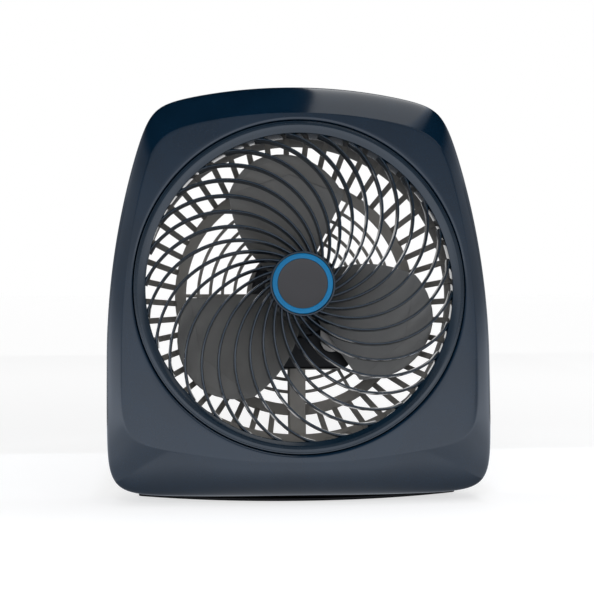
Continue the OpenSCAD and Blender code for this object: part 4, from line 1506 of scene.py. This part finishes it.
# ---- Fasteners, switch and gland ----


@dataclass(frozen=True)
class Screw:
    """Pan-head screw with a cross recess, whose head stands rearwards of its seat."""

    seat_y: float
    tip_y: float
    head_r: float
    head_h: float
    shank_r: float
    arm: float = 0.62
    slot: float = 0.15

    def add(self, shell: Shell, cutter: Shell, x: float, z: float) -> None:
        """Adds one screw, and the cross for its recess, which narrows towards its floor.

        The head's crown is the parabola y + h (1 - (q / R)^2 / 3) over the radius q.

        Args:
            shell: the screws' shell.
            cutter: the recesses' shell.
            x: place across.
            z: place above the fan axis.
        """
        q = np.linspace(0, self.head_r, 9)
        crown = coords(q, self.seat_y + self.head_h * (1 - (q / self.head_r) ** 2 / 3))
        r, tip_y = self.shank_r, self.tip_y
        rest = [(self.head_r, self.seat_y), (r, self.seat_y), (r, tip_y + r), (0, tip_y)]
        shell.revolve(np.concatenate([crown, rest]), closed=False, count=32, centre=(x, z))
        a, b = self.head_r * self.arm, self.head_r * self.slot
        quarter = np.array([(a, -b), (a, b), (b, b)])
        turns = [quarter @ np.array([(c, s), (-s, c)]) for c, s in ((1, 0), (0, 1), (-1, 0), (0, -1))]
        cross = np.concatenate(turns)
        size, rise = np.array([[0.7], [1.0]]), np.array([[0.35], [1.3]])
        rings = coords(x + cross[:, 0] * size, self.seat_y + self.head_h * rise, z + cross[:, 1] * size)
        cutter.capped(rings)


@dataclass(frozen=True)
class Fasteners:
    """Screws of the guard and of the housing, each kind one piece that stands for its node."""

    housing: RearHousing
    guard_circle: float = 129.6
    guard_angles: tuple[float, ...] = (22, 158, 202, 338)
    guard_screw: Screw = Screw(seat_y=68.2, tip_y=56, head_r=2.47, head_h=1.8, shank_r=1.3)
    housing_screw: Screw = Screw(seat_y=40, tip_y=16, head_r=3.15, head_h=2.4, shank_r=1.5)

    def build(self, shop: Workshop) -> None:
        """Makes both kinds.

        Args:
            shop: the workshop.
        """
        turns = np.radians(self.guard_angles)
        guard_places = coords(self.guard_circle * np.cos(turns), self.guard_circle * np.sin(turns))
        kinds = {
            "guard_screw": (self.guard_screw, guard_places),
            "housing_screw": (self.housing_screw, self.housing.screws),
        }
        for name, (screw, places) in kinds.items():
            shell, cutter = Shell(), Shell()
            for x, z in places:
                screw.add(shell, cutter, x, z)
            shop.piece(f"{name}_set", shell, Slot.STEEL, [f"{name}s"], cutter=cutter, sharp=30)


@dataclass(frozen=True)
class MotorFasteners:
    """Long motor bolts whose chamfered ends stand in hex nuts on the guard's plate."""

    circle: float = 31.7
    turns: tuple[float, ...] = (45, 135, 225, 315)
    shank_r: float = 1.2
    head_r: float = 2.0
    front_y: float = 49.3
    head_h: float = 2
    plate_y: float = 74.5
    reach: float = 1
    nut_hole_r: float = 1.1
    nut_r: float = 2.3
    nut_sink: float = 0.1
    nut_h: float = 0.8

    def build(self, shop: Workshop) -> None:
        """Makes the bolts and nuts. A nut's radius is its apothem / cos of the turn from the nearest flat.

        Args:
            shop: the workshop.
        """
        shell, end, neck = Shell(), self.plate_y + self.reach, self.front_y + self.head_h
        bolt = profile([
            (0, self.front_y, 0), (self.head_r, self.front_y, 0.8), (self.head_r, neck, 0.2),
            (self.shank_r, neck, 0.1), (self.shank_r, end, 0.35), (0, end, 0),
        ], closed=False)
        a = turned(36)
        hexagon = 1 / np.cos((a + math.pi / 6) % (math.pi / 3) - math.pi / 6)
        low, high = self.plate_y - self.nut_sink, self.plate_y + self.nut_h
        hole = self.nut_hole_r
        nut = profile([(hole, low, 0), (self.nut_r, low, 0), (self.nut_r, high, 0.3), (hole, high, 0)])
        r = nut[:, :1] * np.where(nut[:, :1] > hole + 0.1, hexagon, 1)
        for turn in np.radians(self.turns):
            centre = (self.circle * math.cos(turn), self.circle * math.sin(turn))
            shell.revolve(bolt, closed=False, count=24, centre=centre)
            shell.grid(around(r, nut[:, 1:], a, centre), wrap_rows=True)
        shop.piece("motor_bolts_and_nuts", shell, Slot.STEEL, ["motor_bolts"], sharp=25)


@dataclass(frozen=True)
class SpeedSwitch:
    """Fluted knob with a grip bar on the rear face, and the cord gland at the other corner."""

    housing: RearHousing
    lift: float = 4
    knob_r: float = 14
    knob_h: float = 12
    skirt_h: float = 3
    drum_inset: float = 2.5
    flutes: int = 24
    flute_points: int = 8
    flute_depth: float = 0.045
    flute_from: float = 6
    flute_to: float = 11
    grip_half: float = 2.5
    grip_ends: tuple[tuple[float, float], ...] = ((0, 0.80), (0.4, 0.93), (1.5, 1))
    ribs: int = 3
    rib_pitch: float = 1.9
    gland_bore: float = 3.6
    gland_r: float = 6.6
    gland_flange_r: float = 9
    gland_h: float = 8

    def build(self, shop: Workshop) -> None:
        """Makes the knob and the gland.

        The drum's radius is multiplied by 1 - D (1 + cos Na) / 2 at the turn a, with N flutes of depth D
        that fade towards its middle. The grip bar's section shrinks towards both of its ends.

        Args:
            shop: the workshop.
        """
        centre = (-self.housing.corner, -self.housing.corner)
        foot = self.housing.rear_y + self.lift
        low, top = foot + 2, foot + self.knob_h
        skirt = peg(foot, foot + self.skirt_h, self.knob_r, 0.6, 1.0)
        shell = Shell().revolve(skirt, closed=False, centre=centre)
        a = turned(self.flutes * self.flute_points)
        drum = peg(low, top - 2, self.knob_r - self.drum_inset, 0.2, 1.6)
        lobes = 0.5 + 0.5 * np.cos(self.flutes * a)
        flute = 1 - self.flute_depth * lobes * smooth(drum[:, :1], self.flute_from, self.flute_to)
        shell.grid(around(drum[:, :1] * flute, drum[:, 1:], a, centre))
        w, end = self.grip_half, self.knob_r - 1
        grip = profile([(-w, low, 0), (-w, top, 1.2), (w, top, 1.2), (w, low, 0)])
        # The distances from the bar's end and the sizes there serve both ends.
        rise, size = np.array(self.grip_ends).T
        z = np.append(rise - end, end - rise[::-1])[:, None]
        size = np.append(size, size[::-1])[:, None]
        shell.capped(coords(centre[0] + grip[:, 0] * size, low + (grip[:, 1] - low) * size, centre[1] + z))
        shop.piece("speed_knob_fluted", shell, Slot.BLACK, ["speed_knob"], Rider.KNOB)
        self.build_gland(shop)

    def build_gland(self, shop: Workshop) -> None:
        """Makes the gland: a flanged bush with a ribbed nose and a bore.

        Args:
            shop: the workshop.
        """
        y, bore, neck, flange = self.housing.rear_y, self.gland_bore, self.gland_r, self.gland_flange_r
        rows = [(bore, y - 6, 0.3), (neck, y - 6, 0.8), (neck, y, 0.1)]
        rows += [(flange, y, 0.4), (flange, y + 2, 0.8), (5.6, y + 2, 0.2)]
        for i in range(self.ribs):
            rise = y + i * self.rib_pitch
            rows += [(5.6, rise + 2.6, 0.25), (5.0, rise + 3.4, 0.25)]
        rows += [(5.2, y + self.gland_h, 0.5), (bore, y + self.gland_h, 0.5)]
        centre = (self.housing.corner, -self.housing.corner)
        shell = Shell().revolve(profile(rows, steps=3), count=72, centre=centre)
        shop.piece("cord_gland_bush", shell, Slot.BLACK, ["cord_gland"])


# ---- Base ----


@dataclass(frozen=True)
class FootBase:
    """Base plate with a curved front, the saddle under the housing and four feet, in the row frame."""

    housing: RearHousing
    low: Array
    high: Array
    feet_low: Array
    feet_high: Array
    front_r: float = 262
    front_points: int = 61
    plate_t: float = 2.2
    corner: float = 20
    rim: float = 0.6
    saddle_side: float = 108
    saddle_end: float = 1.2
    saddle_setback: float = 0.5
    nose_drop: float = 0.5
    tail: float = 8
    tail_tuck: float = 0.8
    corner_cut: float = 0.95
    clear: float = 0.3
    ease: float = 0.9
    foot_r: float = 8
    foot_rim: float = 0.6
    front_foot_x: float = 62

    @classmethod
    def from_frame(cls, housing: RearHousing) -> "FootBase":
        """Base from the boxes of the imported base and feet, in millimetres."""
        base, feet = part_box("foot_base"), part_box("rubber_feet")
        return cls(housing, *(np.array(corner) / MM for corner in (*base, *feet)))

    def front(self, x: Array) -> Array:
        """Depth of the front arc: its centre's less sqrt(R^2 - x^2)."""
        return float(self.low[1]) + self.front_r - np.sqrt(self.front_r**2 - x**2)

    def plan(self) -> Array:
        """Outline of the plate seen from above: the front arc, straight sides and rounded rear corners.

        Returns:
            Points (x, y).
        """
        side, back, near = self.high[0], self.high[1], self.high[1] - self.corner
        x = np.linspace(-side, side, self.front_points)
        inner, cut = side - self.corner, self.corner * self.corner_cut
        rear = [(side, near), (side, back), (inner, back), (-inner, back), (-side, back), (-side, near)]
        cuts = [2.0] + [0.0] * (self.front_points - 2) + [2.0, 0, cut, 0, 0, cut, 0]
        return soften(np.concatenate([coords(x, self.front(x)), rear]), cuts, steps=10)

    def plate(self) -> Shell:
        """Rounded plate: the outline drawn in by an inset at each height, closed on a middle point.

        Returns:
            The plate's shell.
        """
        middle = np.array([0, (self.low[1] + self.high[1]) / 2])
        bottom, turns = self.low[2], np.linspace(0, math.pi / 2, 5)
        inset = self.rim * np.concatenate([1 - np.sin(turns), 1 - np.cos(turns)])
        lower, upper = self.rim * (1 - np.cos(turns)), self.plate_t - self.rim * (1 - np.sin(turns))
        arm = self.plan() - middle
        length = np.linalg.norm(arm, axis=1, keepdims=True)
        flat = middle + arm * (1 - inset[:, None, None] / length)
        height = bottom + np.concatenate([lower, upper])[:, None]
        return Shell().capped(coords(flat[..., 0], flat[..., 1], height))

    def saddle(self, place: FanPlace) -> Array:
        """Rings of the saddle, one for each x: up behind the front arc, along under the skin and down.

        The top line is the skin's lowest line, lowered by the clearance and by ease (inset / full inset)^2.

        Args:
            place: the fan's place.

        Returns:
            Rings by points by 3, in the row frame in millimetres.
        """
        inset, depth = self.housing.skin_line(np.linspace(0, 1, 25))
        line = place.row(coords(0.0, depth, inset - self.housing.form.body.bottom)) / MM
        top_y = line[:, 1]
        top_z = line[:, 2] - self.clear - self.ease * (inset / self.housing.inset) ** 2
        x = self.saddle_side * np.sin(np.linspace(-math.pi / 2, math.pi / 2, 65))[:, None]
        drop = self.rim * (1 - smooth(self.saddle_side - np.abs(x), 0, self.saddle_end))
        front = np.maximum(top_y[0], self.front(x) + self.saddle_setback) + drop
        y_line = front + (top_y[-1] - front) * np.linspace(0, 1, 30)
        z_line = np.interp(y_line, top_y, top_z) - drop
        z_line[:, 0] -= self.nose_drop
        low_z, tail_y = self.low[2], self.high[1] - self.tail
        slope_y = np.linspace(top_y[-1] + 2, tail_y, 8)
        slope_z = np.linspace(top_z[-1] - 1, low_z + self.plate_t * self.tail_tuck, 8)
        wide = np.ones((len(x), 1))
        y = np.concatenate([front, y_line, slope_y * wide, wide * tail_y], axis=1)
        z = np.concatenate([wide * low_z, z_line, slope_z * wide, wide * low_z], axis=1)
        return coords(x, y, z)

    def feet(self) -> Shell:
        """Round pads under the plate: points (x + r cos a, y + r sin a, z).

        Returns:
            The pads' shell.
        """
        shell, a, r = Shell(), turned(48), self.foot_r
        low, high = self.feet_low, self.feet_high
        flat = r - self.foot_rim
        rows = [(flat, low[2], 0), (r, low[2], 0.5), (r, high[2], 0.1), (0, high[2], 0)]
        under = coords(np.linspace(0, 1, 7) * flat, low[2])
        pad = np.concatenate([under, profile(rows, closed=False)[1:]])
        for side_x, y in ((high[0] - r, high[1] - r), (self.front_foot_x, low[1] + r)):
            for x in (side_x, -side_x):
                shell.grid(coords(x + pad[:, :1] * np.cos(a), y + pad[:, :1] * np.sin(a), pad[:, 1:]))
        return shell

    def build(self, shop: Workshop) -> None:
        """Makes the base and its feet.

        Args:
            shop: the workshop.
        """
        body = self.plate().capped(self.saddle(shop.place))
        shop.piece("base_with_saddle", body, Slot.BLACK, ["foot_base"], in_row=True)
        shop.piece("foot_pads", self.feet(), Slot.RUBBER, ["rubber_feet"], in_row=True)


# ---- Carried-over nodes, studio and main ----

KEPT: Mapping[Slot, tuple[str, ...]] = {
    Slot.BLADES: ("impeller_nut",),
    Slot.STEEL: (
        "motor_shaft", "motor_rotor", "motor_stator", "grille_screws", "switch_spindle", "switch_nut",
        "base_screws",
    ),
    Slot.COPPER: ("motor_coils",),
    Slot.BRONZE: ("front_bearing", "rear_bearing"),
    Slot.CAST: ("front_motor_bracket", "rear_motor_bracket"),
    Slot.LEAD: ("motor_lead", "supply_lead"),
    Slot.WHITE: ("switch_body",),
}


def look_along(aim: Array) -> tuple[float, float, float]:
    """Euler angles that turn a lamp's -z along a direction, with its top upwards."""
    return (math.atan2(math.hypot(aim[0], aim[1]), -aim[2]), 0.0, math.atan2(-aim[0], aim[1]))


@dataclass(frozen=True)
class Lamp:
    """A rectangular soft light: middle, target, sides in metres and radiance."""

    name: str
    at: tuple[float, float, float]
    target: tuple[float, float, float]
    size: tuple[float, float]
    radiance: float
    mirrored: bool = True

    def build(self) -> None:
        """Makes the light. Its power is 4 times radiance times area."""
        data = bpy.data.lights.new(self.name, "AREA")
        data.shape = "RECTANGLE"
        data.size, data.size_y = self.size
        data.energy = 4 * self.radiance * self.size[0] * self.size[1]
        obj = link(self.name, data)
        obj.location = self.at
        obj.visible_glossy = self.mirrored
        obj.rotation_euler = look_along(np.array(self.target) - np.array(self.at))


@dataclass(frozen=True)
class Card:
    """Flat reflector that only glossy rays see.

    Its radiance runs smoothly through three values at three places along one axis, upwards for a standing
    card and across or rearwards for a lying one.
    """

    name: str
    corners: Corners
    radiance: tuple[float, float, float] = (0.0, 0.0, 0.0)
    places: tuple[float, float, float] = (0.0, 0.5, 1.0)
    along: str = "Z"
    tint: Colour = (0.93, 1.0, 1.12)

    def build(self) -> None:
        """Makes the card and its glow."""
        g = Graph.material(self.name)
        place = g.wire(g.node("ShaderNodeSeparateXYZ", values={0: g.place()}), self.along)
        low, middle, high = (tuple(value * c for c in self.tint) for value in self.radiance)
        rise = g.blend(place.span(*self.places[:2]), low, middle)
        glow = g.blend(place.span(*self.places[1:]), rise, high)
        values = {"Base Color": (0, 0, 0, 1), "Specular IOR Level": 0.0}
        material = g.finish({**values, "Emission Color": glow, "Emission Strength": 1.0})
        card = stage_sheet(self.name, self.corners, material)
        for rays in ("camera", "diffuse", "transmission", "shadow"):
            setattr(card, f"visible_{rays}", False)


def stage_sheet(name: str, corners: Corners, material: bpy.types.Material) -> bpy.types.Object:
    """Makes a flat sheet of the studio.

    Args:
        name: the object's name.
        corners: its four corners in metres.
        material: its finish.

    Returns:
        The sheet.
    """
    mesh = bpy.data.meshes.new(name)
    mesh.from_pydata(corners, [], [(0, 1, 2, 3)])
    mesh.materials.append(material)
    obj = link(name, mesh)
    return obj


def upright(
    start: tuple[float, float], end: tuple[float, float], low: float, high: float, deep: float = 0
) -> Corners:
    """Corners of a sheet over a floor line, from one height to another, moved back by deep at its top."""
    (x0, y0), (x1, y1) = start, end
    return ((x0, y0, low), (x1, y1, low), (x1, y1 + deep, high), (x0, y0 + deep, high))


def level_card(
    name: str, x: tuple[float, float], y: float, z: float, deep: float, glow: Colour = (0.0, 0.0, 0.0),
    places: tuple[float, float, float] = (0.0, 0.5, 1.0), along: str = "Z",
) -> Card:
    """Lying card.

    Args:
        name: the card's name.
        x: its left and right edges.
        y: its near edge.
        z: its height.
        deep: its size front to back.
        glow: its three radiances.
        places: where they are reached.
        along: the axis of the places.

    Returns:
        The card.
    """
    return Card(name, upright((x[0], y), (x[1], y), z, z, deep), glow, places, along)


def plain(radiance: float) -> tuple[float, float, float]:
    """Three equal radiances."""
    return (radiance,) * 3


@dataclass(frozen=True)
class Studio:
    """White surroundings, pale floor, soft lights, reflector cards and the camera."""

    camera_at: tuple[float, float, float] = (-0.0762, -1.0, 0.1761)
    yaw: float = math.radians(4.30)
    pitch: float = math.radians(-1.18)
    lens: float = 78.0
    sensor: float = 36
    fill: float = 0.38
    floor_grey: float = 0.40
    glow: tuple[float, float] = (0.65, 0.76)
    glow_span: tuple[float, float] = (0.2, 1.3)
    floor_corners: Corners = ((-6, -4, 0), (6, -4, 0), (6, 8, 0), (-6, 8, 0))
    lamps: tuple[Lamp, ...] = (
        Lamp("overhead_softbox", (0.325, 0.15, 1.05), (0.325, 0.15, 0.0), (0.45, 1.6), 1.32),
        Lamp("front_softbox", (0.0, -2.0, 0.28), (0.0, 0.0, 0.16), (2.6, 0.7), 2.0, False),
        Lamp("high_softbox", (-0.2, -1.6, 1.1), (0.0, 0.0, 0.16), (0.6, 0.4), 9, False),
        Lamp("left_softbox", (-1.3, -0.9, 0.30), (0.0, 0.0, 0.16), (0.8, 0.5), 2.2, False),
    )
    cards: tuple[Card, ...] = (
        level_card("ceiling_card", (-1.6, 1.6), -0.9, 1.2, 2.5),
        level_card("ceiling_front_card", (-1.6, 0.45), -1.15, 1.2, 0.25),
        level_card(
            "overhead_edge_card", (0.55, 0.72), -0.65, 1.05, 1.6,
            (1.32, 0.6, 0), (0.55, 0.63, 0.72), "X",
        ),
        Card("front_card", upright((-2.2, -2), (2.2, -2), 0, 2), (1.95, 1.9, 0.40), (0, 0.15, 1.30)),
        Card("left_card", upright((-1.5, -2), (-1.5, 0.3), 0, 0.7), (2.2, 2.8, 0.8), (0, 0.10, 0.48)),
        Card("left_rear_card", upright((-1.5, 0.3), (-1.5, 1.2), 0, 0.7), (1.2, 1.5, 0.5), (0, 0.10, 0.48)),
        Card(
            "left_high_card", upright((-1.5, -2), (-1.5, 1.2), 0.7, 1.2),
            (0.8, 0.4, 0.05), (0.7, 0.95, 1.18),
        ),
        Card("right_card", upright((1.5, -2), (1.5, 0.3), 0, 0.7), (2.2, 2.5, 0.75), (0, 0.08, 0.42)),
        Card("right_rear_card", upright((1.5, 0.3), (1.5, 1.2), 0, 0.7), (1.2, 1.4, 0.45), (0, 0.08, 0.42)),
        Card(
            "right_high_card", upright((1.5, -2), (1.5, 1.2), 0.7, 1.2),
            (0.75, 0.4, 0.05), (0.7, 0.95, 1.18),
        ),
        # Bright floor in reflections that dims to 0.55 just in front of the base: painted shade of the floor
        # by the fan.
        level_card(
            "front_floor_card", (-1.5, 1.5), -2, 0.002, 2.0,
            (1.9, 1.6, 0.55), (-1.0, -0.13, -0.02), "Y",
        ),
        level_card(
            "left_floor_card", (-1.5, -0.16), -0.6, 0.003, 1.0,
            (2.0, 1.7, 1.15), (-1.2, -0.4, -0.16), "X",
        ),
        level_card(
            "right_floor_card", (0.16, 1.5), -0.6, 0.003, 1.0,
            (1.35, 1.8, 2.1), (0.16, 0.4, 1.2), "X",
        ),
        # Painted shade: a dim sheet under the fan that stands in for the shadowed floor there, seen only in
        # reflections.
        level_card("under_card", (-0.14, 0.14), -0.04, 0.001, 0.16, plain(0.2)),
        level_card("rear_floor_card", (-0.6, 0.6), 0.25, 0.002, 1.45, plain(0.12)),
        Card("rear_top_card", upright((-0.5, 1.7), (0.5, 1.7), 0.55, 1.4), plain(0.25)),
        Card("rear_left_card", upright((-2.2, 1.7), (-0.5, 1.7), 0, 1.4), plain(0.25)),
        Card("rear_right_card", upright((0.5, 1.7), (2.2, 1.7), 0, 1.4), plain(0.25)),
    )

    def build(self) -> None:
        """Makes the world, the floor, the lights, the cards and the camera."""
        self.world()
        self.floor()
        for part in (*self.lamps, *self.cards):
            part.build()
        data = bpy.data.cameras.new("camera")
        data.lens = self.lens
        data.sensor_width = self.sensor
        camera = link("camera", data)
        camera.location = self.camera_at
        camera.rotation_euler = (math.pi / 2 + self.pitch, 0, -self.yaw)
        bpy.context.scene.camera = camera
        bpy.context.scene.view_settings.view_transform = "Standard"

    def world(self) -> None:
        """White for camera, glossy and transmission rays, and a plain fill for the rest."""
        world = bpy.data.worlds.new("studio")
        bpy.context.scene.world = world
        g = Graph(world)
        path = g.node("ShaderNodeLightPath")
        rays = ("Camera", "Glossy", "Transmission")
        camera, glossy, through = (g.wire(path, f"Is {ray} Ray") for ray in rays)
        values = {"Value": camera.most(glossy.most(through)), "To Min": self.fill}
        strength = g.wire(g.node("ShaderNodeMapRange", values=values), "Result")
        background = g.node("ShaderNodeBackground", values={"Color": (1, 1, 1, 1), "Strength": strength})
        g.node("ShaderNodeOutputWorld", values={"Surface": g.wire(background)})

    def floor(self) -> None:
        """Pale floor that keeps the object's shadow, with a glow that grows away from the object."""
        g = Graph.material("studio_floor")
        path = g.node("ShaderNodeLightPath")
        seen = g.wire(path, "Is Camera Ray") + g.wire(path, "Is Glossy Ray")
        level = g.blend(g.along("LENGTH").span(*self.glow_span), *(plain(value) for value in self.glow))
        values = {"Base Color": (*plain(self.floor_grey), 1), "Roughness": 0.9, "Emission Strength": 1.0}
        material = g.finish({**values, "Emission Color": g.blend(seen, plain(0), level)})
        stage_sheet("floor", self.floor_corners, material)


def finishes(place: FanPlace) -> dict[Slot, bpy.types.Material]:
    """Builds every finish.

    Args:
        place: where the fan stands, for patterns that follow its axis.

    Returns:
        The materials by slot.
    """
    badge_centre = tuple(float(v) for v in place.row(np.array([0.0, BADGE_DISC_Y, 0.0])))
    made = [
        Moulded(Slot.HOUSING, (0.0018, 0.0108, 0.0245), roughness=0.11, grain_depth=0.002),
        Moulded(Slot.GRILLE, (0.0035, 0.0120, 0.0230), roughness=0.13, grain_depth=0.003),
        Moulded(Slot.BADGE_BLUE, (0.002, 0.130, 0.300), roughness=0.30, grain_depth=0.002, ior=1.28),
        Spun(Slot.BADGE_GREY, (0.014, 0.012, 0.012), badge_centre),
        Moulded(Slot.BLADES, (0.098, 0.097, 0.093), roughness=0.42),
        Moulded(Slot.GUARD, (0.185, 0.178, 0.166), roughness=0.62, grain_mm=0.6, grain_depth=0.008, ior=1.3),
        Moulded(Slot.BLACK, (0.004, 0.004, 0.0045), roughness=0.42, ior=1.25),
        Moulded(Slot.CLIP, (0.34, 0.33, 0.32), roughness=0.45),
        Moulded(Slot.WHITE, (0.60, 0.585, 0.54), roughness=0.45),
        Metal(Slot.STEEL, (0.58, 0.59, 0.61), roughness=0.28, stretch=(1, 6, 1)),
        Metal(Slot.CAST, (0.60, 0.61, 0.62), roughness=0.48, grain_mm=0.9, grain_depth=0.02),
        Metal(Slot.BRONZE, (0.55, 0.38, 0.19), roughness=0.40, grain_mm=0.3, grain_depth=0.006),
        Wound(Slot.COPPER, (0.62, 0.26, 0.10), place.lean),
        Moulded(Slot.LEAD, (0.012, 0.012, 0.012), roughness=0.5, ripple_depth=0.04),
        Moulded(Slot.RUBBER, (0.010, 0.010, 0.010), roughness=0.75, grain_mm=0.25, grain_depth=0.01),
    ]
    return {finish.slot: finish.material() for finish in made}


def main() -> None:
    """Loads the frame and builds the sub-assemblies in order."""
    logging.basicConfig(level=logging.INFO, format="%(message)s")
    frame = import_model()
    place = FanPlace.from_joint(frame["joints"][0], JOINT_DEPTH)
    shop = Workshop(place, finishes(place))
    for slot, names in KEPT.items():
        for name in names:
            node = frame["nodes"][name]
            node.data.materials.clear()
            node.data.materials.append(shop.finishes[slot])
            LOG.info("%s: kept, finish %s", name, slot.value)
    Studio().build()
    form = ShellForm()
    housing = RearHousing(form)
    assemblies = (
        FrontBezel(form), housing, FrontGrille(form), Badge(), Impeller(), MotorPod(), RearGuard(),
        Fasteners(housing), MotorFasteners(), SpeedSwitch(housing), FootBase.from_frame(housing),
    )
    for assembly in assemblies:
        assembly.build(shop)


if __name__ == "__main__":
    main()
